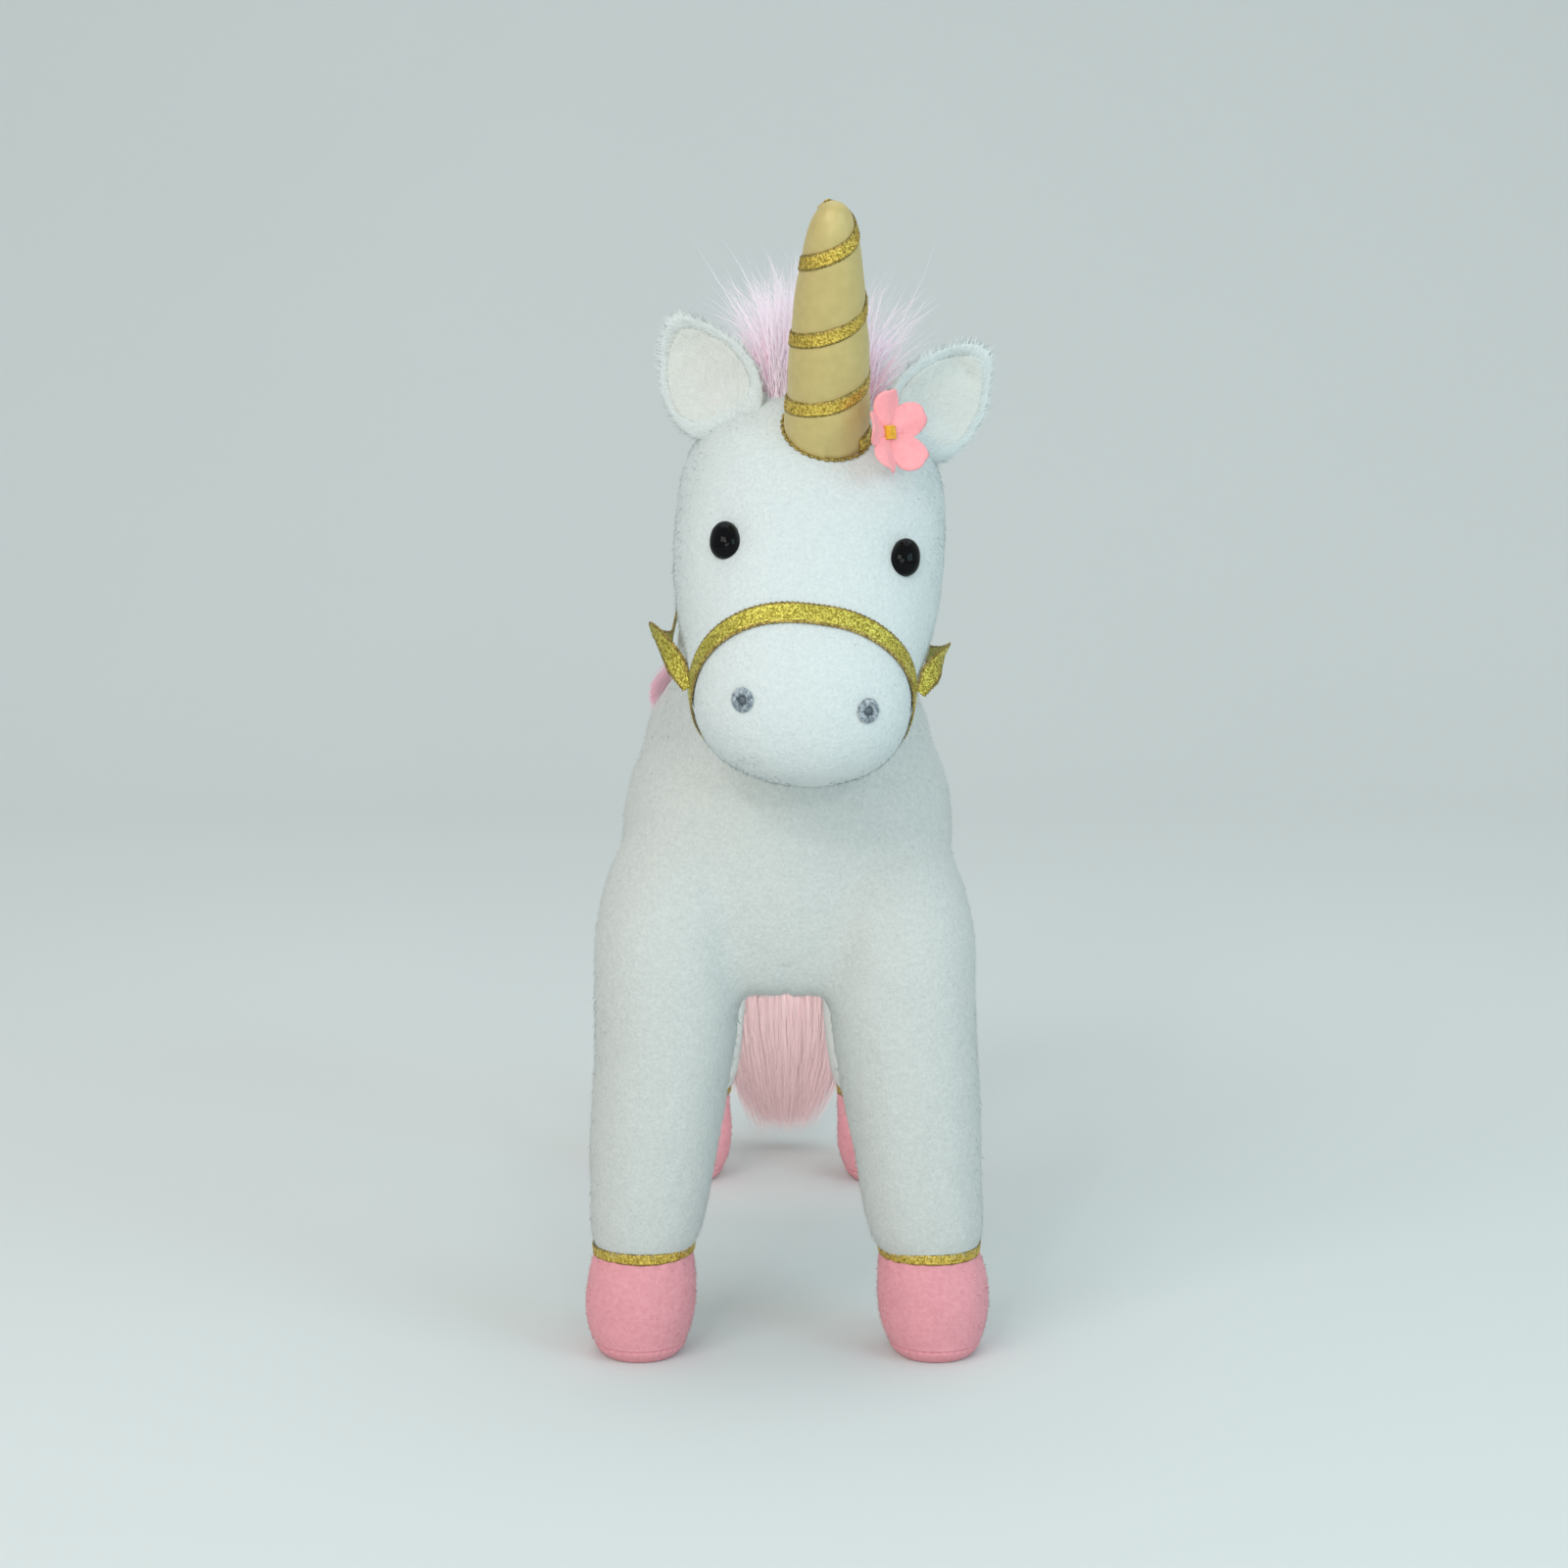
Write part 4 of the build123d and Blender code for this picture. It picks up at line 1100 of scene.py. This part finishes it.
def comb_ear(side):
    base, up, face = EARS[side]

    def f(p, n):
        j = np.stack([value_noise(p, 6, 24), value_noise(p, 6, 25), value_noise(p, 6, 26)], 1)
        return up * 0.9 + np.cross(up, face) * 0.25 * np.sign((p - base) @ np.cross(up, face))[:, None] + j * 0.8
    return f


for side, nm in ((1, "left"), (-1, "right")):
    outer = make("ear_%s_plush" % nm, *ear_form(EAR_OUT, side, 0.0), M_HEAD_LIT)
    lining = make("ear_%s_felt" % nm, *ear_form(EAR_IN, side, 2.1), M_LINING)
    for o in (outer, lining):
        m = o.modifiers.new("sub", "SUBSURF")
        m.levels = m.render_levels = 1
        bake_modifiers(o)
        bm = bmesh.new()
        bm.from_mesh(o.data)
        bmesh.ops.recalc_face_normals(bm, faces=bm.faces)
        bm.to_mesh(o.data)
        bm.free()
        co, no = coords(o), vert_normals(o)
        set_coords(o, co + no * (value_noise(co, 7, 15) * 0.35)[:, None])
    p1 = fur("ear_%s_pile" % nm, outer, 9000, comb_ear(side), M_EAR_PILE_LIT, 100 + side, length=2.9,
             width=0.24, lift=0.34, mess=0.30)
    p2 = fur("ear_%s_felt_pile" % nm, lining, 3600, comb_ear(side), M_LINING_PILE, 103 + side,
             length=2.2, width=0.24, lift=0.28, mess=0.3)
    for o in (outer, lining, p1, p2):
        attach(o, "ear_" + nm)
    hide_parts("ear_%s_outer" % nm)
    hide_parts("ear_%s_lining" % nm)

# ------------------------------------------------------------------ horn
HORN_L = 67.0
HORN_ROWS = [(0.0, 11.7), (8, 11.45), (13, 11.0), (20, 10.9), (28, 10.5), (33, 9.9), (40, 9.45),
             (48, 8.4), (54, 7.5), (59, 6.5), (63, 5.1), (65.6, 3.4), (66.8, 1.6), (67.1, 0.15)]
horn_u = unit(np.cross(np.array([0, 1.0, 0]), horn_w))
horn_u = unit(np.array([1.0, 0, 0]) - horn_w * horn_w[0])
horn_v = np.cross(horn_w, horn_u)            # backwards
hr = spline(HORN_ROWS, 5)
hr = hr[(hr[:, 1] > 0.05)]


def horn_r(t):
    return np.interp(t, hr[:, 0], hr[:, 1])


def helix_t(turn):
    return np.interp(turn, [0.14, 0.45, 0.75, 1.0, 1.25, 1.5, 2.0, 2.25, 2.5, 3.0, 3.2, 3.42, 3.62],
                     [0.2, 3.0, 9.2, 13.0, 17.6, 23.2, 33.2, 38.3, 44.2, 55.2, 58.8, 63.0, 65.4])


th = np.linspace(0, 2 * math.pi, 96, endpoint=False)
hp = [(r_, t_) for t_, r_ in [(-9.0, 11.7)] + [tuple(q) for q in hr]]


def horn_bulge(a, h):
    """The winding ribbon pinches the filling, and the satin puffs and puckers between its turns."""
    turn0 = ((a + math.pi / 2) / (2 * math.pi)) % 1.0
    out = np.ones_like(a)
    near = np.full_like(a, 99.0)
    for k in range(0, 4):
        near = np.minimum(near, np.abs(h - helix_t(np.clip(turn0 + k, 0.14, 3.62))))
    out -= 0.045 * np.exp(-(near / 2.6) ** 2)
    out += 0.012 * np.sin(a * 3 + h * 0.11) + 0.010 * np.sin(a * 9 + h * 0.5) * np.exp(-(near / 3.5) ** 2)
    return out


horn = lathe("horn_satin", horn_o, (horn_u, horn_v, horn_w), hp, 96, M_SATIN, horn_bulge)
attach(horn, "head")
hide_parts("horn_cover")
turn = np.linspace(0.14, 3.62, 620)
ang = turn * 2 * math.pi - math.pi / 2
tt = helix_t(turn)
kern = np.hanning(41)
kern /= kern.sum()
tt = np.convolve(np.pad(tt, 20, mode="edge"), kern, mode="valid")
rad = horn_r(tt) * 0.965 + 0.25
path = (horn_o + np.outer(rad * np.cos(ang), horn_u) + np.outer(rad * np.sin(ang), horn_v)
        + np.outer(tt, horn_w))
slope = np.gradient(horn_r(tt), tt + np.linspace(0, 1e-6, len(tt)))
slope = np.clip(np.interp(tt, hr[:, 0], np.gradient(hr[:, 1], hr[:, 0])), -1.6, 0.2)
nrm = unit(np.outer(np.cos(ang), horn_u) + np.outer(np.sin(ang), horn_v) - slope[:, None] * horn_w)
tang = unit(np.gradient(path, axis=0))
nrm = unit(nrm - tang * np.sum(nrm * tang, 1, keepdims=True))
wind = ribbon("horn_winding", path, np.cross(nrm, tang), nrm, 3.9, M_GOLD_WARM, M_GOLD_EDGE, 0.4, 9,
              picot=0.2, picot_mm=1.2)
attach(wind, "head")
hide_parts("horn_ribbon")

# scalloped trim where the horn is sewn to the head
m = 260
a = np.linspace(0, 2 * math.pi, m, endpoint=False)
trim = []
for q in a:
    d = horn_u * math.cos(q) + horn_v * math.sin(q)
    o = horn_o + d * 11.9 + horn_w * 40
    hit = tree.ray_cast(Vector(o * MM), Vector(-horn_w))
    trim.append(np.array(hit[0]) / MM if hit[0] is not None else o - horn_w * 40)
trim = np.array(trim)
radial = unit(np.outer(np.cos(a), horn_u) + np.outer(np.sin(a), horn_v))
scal = np.abs(np.sin(a * 17)) ** 0.7
co, q = [], []
tube = np.linspace(0, 2 * math.pi, 8, endpoint=False)
cc = []
for k in range(m):
    c = trim[k] + radial[k] * (-0.35 + 0.6 * scal[k]) + horn_w * 0.45
    cc.append(c + np.outer(np.cos(tube) * 0.38, radial[k]) + np.outer(np.sin(tube) * 0.42, horn_w))
cc = np.vstack(cc)
i, j = np.arange(m)[:, None], np.arange(8)[None, :]
q = np.stack([i * 8 + j, ((i + 1) % m) * 8 + j, ((i + 1) % m) * 8 + (j + 1) % 8,
              i * 8 + (j + 1) % 8], 2).reshape(-1, 4)
horn_trim = make("horn_scallop", cc, q, None, M_GOLD_EDGE)
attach(horn_trim, "head")
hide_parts("horn_base_trim")

# ------------------------------------------------------------------ flower
fl_n = unit(np.array([0.60, -0.78, 0.16]))
fl_u = unit(np.array([0.79, 0.61, 0]) - fl_n * np.dot(np.array([0.79, 0.61, 0]), fl_n))
fl_v = np.cross(fl_n, fl_u)
fl_c = P(27.6, -26.8, 264.8)
nt, nr = 420, 16
a = np.linspace(0, 2 * math.pi, nt, endpoint=False)
ph = (a - math.radians(62)) % (2 * math.pi / 5) - math.pi / 5          # 0 in a petal's middle
gap = np.abs(ph) / (math.pi / 5)
outline = 11.4 * (1 - 0.34 * gap ** 3.4) * (1 - 0.045 * np.exp(-(ph / 0.16) ** 2))
which = np.floor(((a - math.radians(62)) % (2 * math.pi)) / (2 * math.pi / 5)).astype(int)
own = np.array([1.0, 0.94, 1.02, 1.06, 0.97])[which]
blend = np.convolve(np.concatenate([own[-12:], own, own[:12]]), np.ones(25) / 25, mode="valid")
outline = outline * blend
top, bot = [], []
for k in range(nr + 1):
    f = k / nr
    r = outline * f
    h = 0.030 * r ** 2 * (0.75 + 0.4 * np.cos(a * 5 - math.radians(62) * 5 + math.pi)) \
        + 0.9 * np.exp(-(gap - 1) ** 2 / 0.03) * -f * (1 - f) * 1.6 + 0.35 * f * np.sin(a * 2 + 0.6)
    h = h + 0.12 * value_noise(np.stack([np.cos(a) * r, np.sin(a) * r, 0 * a], 1), 2.2, 4) * f
    across = np.cos(a) * r
    across = np.where(across < -2.0, -2.0 + (across + 2.0) * 0.72, across)
    pos = fl_c + np.outer(across, fl_u) + np.outer(np.sin(a) * r, fl_v) + np.outer(h, fl_n)
    e = 0.25 if k == nr else 0.55
    top.append(pos + fl_n * e)
    bot.append(pos - fl_n * e)
co = np.vstack(top + bot[::-1])
rows = len(top) + len(bot)
i, j = np.arange(rows - 1)[:, None], np.arange(nt)[None, :]
q = np.stack([i * nt + j, (i + 1) * nt + j, (i + 1) * nt + (j + 1) % nt, i * nt + (j + 1) % nt],
             2).reshape(-1, 4)
flower = make("flower_felt", co, q, None, M_FLOWER)
bm = bmesh.new()
bm.from_mesh(flower.data)
bmesh.ops.remove_doubles(bm, verts=bm.verts, dist=1e-7)
bmesh.ops.recalc_face_normals(bm, faces=bm.faces)
bm.to_mesh(flower.data)
bm.free()
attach(flower, "head")
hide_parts("flower_petals")
# square knot of yellow thread
items = []
for k in range(5):
    y = (k - 2) * 0.72
    path = np.array([fl_c + fl_u * x + fl_v * y + fl_n * (0.75 + 0.75 * math.cos(x / 1.75 * math.pi / 2))
                     for x in np.linspace(-1.7, 1.7, 12)])
    items.append(rings(path, [fl_v] * 12, [fl_n] * 12, [0.42] * 12, [0.5] * 12, 2.0, 10))
for k in range(2):
    x = (k - 0.5) * 1.5
    path = np.array([fl_c + fl_u * x + fl_v * y + fl_n * (1.15 + 0.5 * math.cos(y / 1.9 * math.pi / 2))
                     for y in np.linspace(-1.8, 1.8, 12)])
    items.append(rings(path, [fl_u] * 12, [fl_n] * 12, [0.36] * 12, [0.42] * 12, 2.0, 10))
knot = make("flower_knot", *join_arrays(items), M_YELLOW)
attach(knot, "head")
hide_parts("flower_centre")

# ------------------------------------------------------------------ mane
r2 = np.random.default_rng(7)
p, n = sample(head, 90000, r2, lambda p: (np.abs(p[:, 0] - 9.5) < 21) & (p[:, 1] > YS - 3)
              & (p[:, 1] < YS + 26) & (p[:, 2] > 264)
              & (p[:, 0] > -4.5) & (p[:, 0] < 23.0))
cnt = int(5200 * (1))
pick = r2.choice(len(p), min(cnt, len(p)), replace=False)
p, n = p[pick], n[pick]
fan = (p[:, 0] - 9.5) / 20
base = np.stack([fan * 0.26, 0.10 + 0.012 * (p[:, 1] - YS - 8), np.ones(len(p))], 1)
dirs = unit(base + r2.normal(0, 0.17, (len(p), 3)))
ln = 15 + 29 * r2.random(len(p)) ** 1.25
ln = ln * (1 - 0.22 * np.abs(fan) ** 2) + np.where(r2.random(len(p)) < 0.012, 17.0, 0.0)
pale = strands("mane_tuft_hair", p - n * 1.0, dirs, ln, r2, 0.26, 8, 0.25, 0.16, 12.0, M_MANE,
               np.array([0, -1.0, 0]), 13)
short = r2.choice(len(p), len(p) // 2, replace=False)
deep = strands("mane_tuft_base", p[short] - n[short] * 1.0,
               unit(base[short] + r2.normal(0, 0.3, (len(short), 3))),
               r2.uniform(8, 22, len(short)), r2, 0.40, 5, 0.2, 0.2, 9.0, M_MANE_DEEP,
               np.array([0, -1.0, 0]), 17)
TUFT = [(0, 14, 8), (4, 17.5, 10), (10, 17, 9.5), (16, 12, 6), (19, 5, 2.5)]
r = spline(TUFT, 4)
cap = make("mane_tuft_root", *rings([P(9.5, 12, 264) + Z1 * q[0] + Y1 * 0.06 * q[0] for q in r],
                                    [X1] * len(r), [Y1] * len(r), np.maximum(r[:, 1], 0.3),
                                    np.maximum(r[:, 2], 0.3), 2.0, 40), M_SCALP)
for o in (pale, deep, cap):
    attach(o, "head")
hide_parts("mane_tuft")

# down the neck's crest, falling to its right
NP = unit(np.array([0, NU[2], -NU[1]]))
cnt = int(7000 * (1))
t = r2.uniform(28, 61, cnt)
x = r2.normal(0, 4.5, cnt)
roots = NF + np.outer(t, NU) + np.outer(x, X1) + np.outer(np.sqrt(33.5 ** 2 - np.clip(x, -20, 20) ** 2), NP)
dirs = unit(np.stack([-0.55 + r2.normal(0, 0.35, cnt), 0.35 + r2.normal(0, 0.2, cnt),
                      -0.55 + r2.normal(0, 0.25, cnt)], 1))
clear = r2.uniform(0.8, 7.0, cnt)


def stay_neck(q, f):
    ax = (q - NF) @ NU
    rad = q - NF - np.outer(ax, NU)
    d = np.linalg.norm(rad, axis=1)
    need = 34.6 + clear * (1 - 0.5 * f) + np.clip((22 - ax) / 22, 0, 1.5) * 10
    k = np.where(d < need, need / np.maximum(d, 1e-6), 1.0)
    return NF + np.outer(ax, NU) + rad * k[:, None]


crest = strands("mane_crest_hair", roots, dirs, np.minimum(r2.uniform(16, 40, cnt), 6 + (t - 24) * 1.1), r2, 0.30, 8, 0.75, 0.16,
                12.0, M_MANE_DEEP, NP, 23, stay=stay_neck)
r3 = np.random.default_rng(29)
cnt = int(500 * (1))
q0 = NF + NU * 31 + NP * 34.2 + r3.normal(0, 1, (cnt, 3)) * np.array([2.5, 0.8, 3.0])
q1 = P(-27.5, 56.5, 204) + r3.normal(0, 0.6, (cnt, 3))
q2 = P(-37.9, 40, 186.5) + r3.normal(0, 1, (cnt, 3)) * np.array([0.4, 1.4, 1.4])
lock_rows = []
for k in range(13):
    f = k / 12
    q = q0 * (1 - f) ** 2 + q1 * 2 * f * (1 - f) + q2 * f * f
    sd = unit(np.cross(unit(q2 - q0), np.array([0, -1.0, 0])) + r3.normal(0, 0.02, (cnt, 3)))
    w = 0.20 * (1 - 0.85 * f ** 3)
    lock_rows += [q - sd * w, q + sd * w]
co = np.stack(lock_rows, 1).reshape(-1, 3)
b0 = (np.arange(cnt) * 26)[:, None]
k = np.arange(12)[None, :] * 2
lock = make("mane_crest_lock", co, np.stack([b0 + k, b0 + k + 1, b0 + k + 3, b0 + k + 2],
                                            2).reshape(-1, 4), None, M_MANE_DEEP, True)
CREST = [(25, 4, 2), (28, 8, 3.5), (36, 10, 4), (50, 10, 4), (60, 8, 3), (63, 3, 1)]
r = spline(CREST, 4)
crest_root = make("mane_crest_root", *rings([NF + NU * q[0] + NP * 33.2 for q in r], [X1] * len(r),
                                            [NP] * len(r), np.maximum(r[:, 1], 0.3),
                                            np.maximum(r[:, 2], 0.3), 2.0, 32), M_SCALP)
for o in (crest, crest_root, lock):
    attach(o, "neck")
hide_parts("mane_crest")

# ------------------------------------------------------------------ tail
TAIL = [(229, 168, 4, 4), (234, 166, 7, 6), (241, 160, 11, 9), (248, 149, 15, 11),
        (252, 132, 18, 12), (253.5, 100, 19.5, 12), (252.5, 66, 19, 11.5), (250.5, 38, 16, 9.5),
        (249.5, 20, 11, 7), (249, 9, 6, 4.5)]
tr = spline(TAIL, 6)
path = np.array([P(0, q[0], q[1]) for q in tr])
dist = np.concatenate([[0], np.cumsum(np.linalg.norm(np.diff(path, axis=0), axis=1))])
full = dist[-1]
tg = unit(np.gradient(path, axis=0))
bk = np.stack([0 * tg[:, 0], -tg[:, 2], tg[:, 1]], 1)


def tail_at(d):
    c = np.stack([np.interp(d, dist, path[:, k]) for k in range(3)], 1)
    b = unit(np.stack([np.interp(d, dist, bk[:, k]) for k in range(3)], 1))
    return c, b, np.interp(d, dist, tr[:, 2]), np.interp(d, dist, tr[:, 3])


def tail_hair(name, count, d0, d1, width, segs, mat, seed, loose):
    g = np.random.default_rng(seed)
    rho = np.sqrt(g.uniform(0.12, 1.0, count))
    phi = g.uniform(0, 2 * math.pi, count)
    s0 = g.uniform(*d0, count)
    s1 = np.minimum(s0 + g.uniform(*d1, count), full + g.uniform(-4, 1, count))
    amp = g.normal(0, loose, (count, 3))
    rows_l, rows_r = [], []
    turned = g.normal(0, 0.40, count)
    for k in range(segs + 1):
        f = k / segs
        d = s0 + (s1 - s0) * f
        c, b, a_, b_ = tail_at(np.clip(d, 0, full))
        grow = (0.35 + 0.65 * min(1, f * 3)) * (1.26 + 0.12 * np.clip((d - 95) / 70, 0, 1))
        q = c + X1 * (a_ * rho * np.cos(phi) * grow)[:, None] + b * (b_ * rho * np.sin(phi))[:, None]
        side = X1 * np.cos(turned)[:, None] + b * np.sin(turned)[:, None]
        wav = np.stack([value_noise(q, 22, 41), value_noise(q, 22, 42), value_noise(q, 22, 43) * 0.3], 1)
        q = q + wav * 2.4 * f + amp * f * f
        q[:, 2] = np.maximum(q[:, 2], 4.0)
        w = width * 0.5 * (1 - f ** 2.2 * 0.92)
        rows_l.append(q - side * w)
        rows_r.append(q + side * w)
    m = segs + 1
    co = np.empty((count, m, 2, 3))
    for k in range(m):
        co[:, k, 0], co[:, k, 1] = rows_l[k], rows_r[k]
    b0 = (np.arange(count) * m * 2)[:, None]
    k = np.arange(segs)[None, :] * 2
    quads = np.stack([b0 + k, b0 + k + 1, b0 + k + 3, b0 + k + 2], 2).reshape(-1, 4)
    return make(name, co.reshape(-1, 3), quads, None, mat, True)


qn = 1
tail_a = tail_hair("tail_hair", int(7500 * qn), (2, 70), (70, 175), 0.42, 11, M_TAIL_LIGHT, 61, 2.6)
# the short top hairs take the darker pink, painted shade under the rump
tail_b = tail_hair("tail_hair_top_shaded", int(4500 * qn), (0, 75), (30, 66), 0.46, 8, M_TAIL_SHADED, 62, 2.2)
r = spline([(q[0], q[1], max(q[2] * 0.66, 6.2), max(q[3] * 0.66, 6.0)) for q in TAIL[:-4]], 5)
tail_root = make("tail_inner", *rings([P(0, q[0], q[1]) for q in r], [X1] * len(r),
                                      list(unit(np.stack([0 * r[:, 0], -np.gradient(r[:, 1]),
                                                          np.gradient(r[:, 0])], 1))),
                                      r[:, 2], r[:, 3], 2.0, 36), M_TAIL_SHADED)
for o in (tail_a, tail_b, tail_root):
    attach(o, "tail")
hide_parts("tail_fur")

# ------------------------------------------------------------------ what is inside
INSIDE = {"stuffing": M_FIBRE, "pellet": M_COTTON, "washer": M_NYLON, "tail_core": M_SCALP}
for nm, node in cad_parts.items():
    for key, mat in INSIDE.items():
        if key in nm:
            node.data.materials.clear()
            node.data.materials.append(mat)

# ------------------------------------------------------------------ slot names matched against each piece's name; nothing is assigned
SLOT = [("_plush", "plush_white"), ("_pile", "plush_white"), ("hoof_felt", "hoof_pink"),
        ("hoof_nap", "hoof_pink"), ("hoof_base", "sole_pink"), ("hoof_trim", "gold_ribbon"),
        ("nose_ribbon", "gold_ribbon"), ("rein_", "gold_ribbon"), ("horn_satin", "gold_satin"),
        ("horn_winding", "gold_ribbon"), ("horn_scallop", "gold_ribbon"), ("eye_dome", "eye_black"),
        ("nostril_", "nostril_grey"), ("_felt", "ear_lining"), ("flower_felt", "flower_pink"),
        ("flower_knot", "flower_yellow"), ("mane_", "mane_pink"), ("tail_", "tail_pink")]
own = [o for o in scene.objects if o.type == "MESH" and o.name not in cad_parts]
for o in own:
    nm = o.name
    if nm.startswith("ear_") and "felt" in nm:
        continue
    if nm.startswith("flower_felt"):
        continue
    if "hoof_felt" in nm:
        continue
    if "_filling" in nm:
        continue
    for key, sl in SLOT:
        if key in nm:
            break

# ------------------------------------------------------------------ stage
M_STAGE = material("stage_paper", (0.71, 0.75, 0.745), 0.9, color2=(0.70, 0.74, 0.735), noise_mm=400,
                   spec=0.1)
arc = np.radians(np.linspace(0, 90, 60))
pr = np.vstack([np.stack([np.linspace(-3.0, 0.85, 24), np.zeros(24)], 1),
                np.stack([0.9 + 1.1 * np.sin(arc), 1.1 - 1.1 * np.cos(arc)], 1),
                np.stack([np.full(8, 2.0), np.linspace(1.2, 3.4, 8)], 1)])
xs = np.linspace(-4, 4, 9)
co = np.array([[x, y, z] for y, z in pr for x in xs]) * 1000
i, j = np.arange(len(pr) - 1)[:, None], np.arange(8)[None, :]
q = np.stack([i * 9 + j, i * 9 + j + 1, (i + 1) * 9 + j + 1, (i + 1) * 9 + j], 2).reshape(-1, 4)
backdrop = make("stage_sweep", co, q, None, M_STAGE)


def area(name, loc, target, size, power, color, spread=180):
    d = bpy.data.lights.new(name, "AREA")
    d.shape = "RECTANGLE"
    d.size, d.size_y = size
    d.energy = power
    d.color = color
    d.spread = math.radians(spread)
    o = bpy.data.objects.new(name, d)
    scene.collection.objects.link(o)
    o.visible_camera = False
    o.location = loc
    o.rotation_euler = (Vector(target) - Vector(loc)).to_track_quat("-Z", "Y").to_euler()
    return o


area("key_soft", (-0.75, -1.35, 1.15), (0, 0, 0.16), (0.9, 0.7), 8.3, (1.0, 0.97, 0.935))
area("front_soft", (-0.15, -1.75, 0.42), (0, 0.0, 0.11), (0.7, 0.45), 3.5, (1.0, 0.985, 0.96))
area("fill_soft", (1.15, -0.95, 0.75), (0, 0, 0.24), (0.8, 0.8), 5.6, (0.50, 0.85, 1.0))
area("top_soft", (0.1, 0.35, 1.5), (0, 0.1, 0.1), (1.4, 1.2), 4.5, (0.97, 0.99, 1.0))
area("catch_left", (-0.30, -1.40, 0.85), (0, 0, 0.24), (0.07, 0.07), 1.2, (1.0, 1.0, 1.0))
area("catch_right", (0.22, -1.45, 0.55), (0, 0, 0.24), (0.06, 0.06), 0.9, (1.0, 1.0, 1.0))
area("under_soft", (0, -0.03, 0.078), (0, 0.15, 0.066), (0.03, 0.03), 0.026, (1.0, 0.97, 0.96), 74)
world = bpy.data.worlds.new("studio")
scene.world = world
world.use_nodes = True
bg = next(n for n in world.node_tree.nodes if n.type == "BACKGROUND")
bg.inputs["Color"].default_value = (0.93, 0.975, 0.97, 1)
bg.inputs["Strength"].default_value = 0.62
scene.view_settings.view_transform = "Standard"
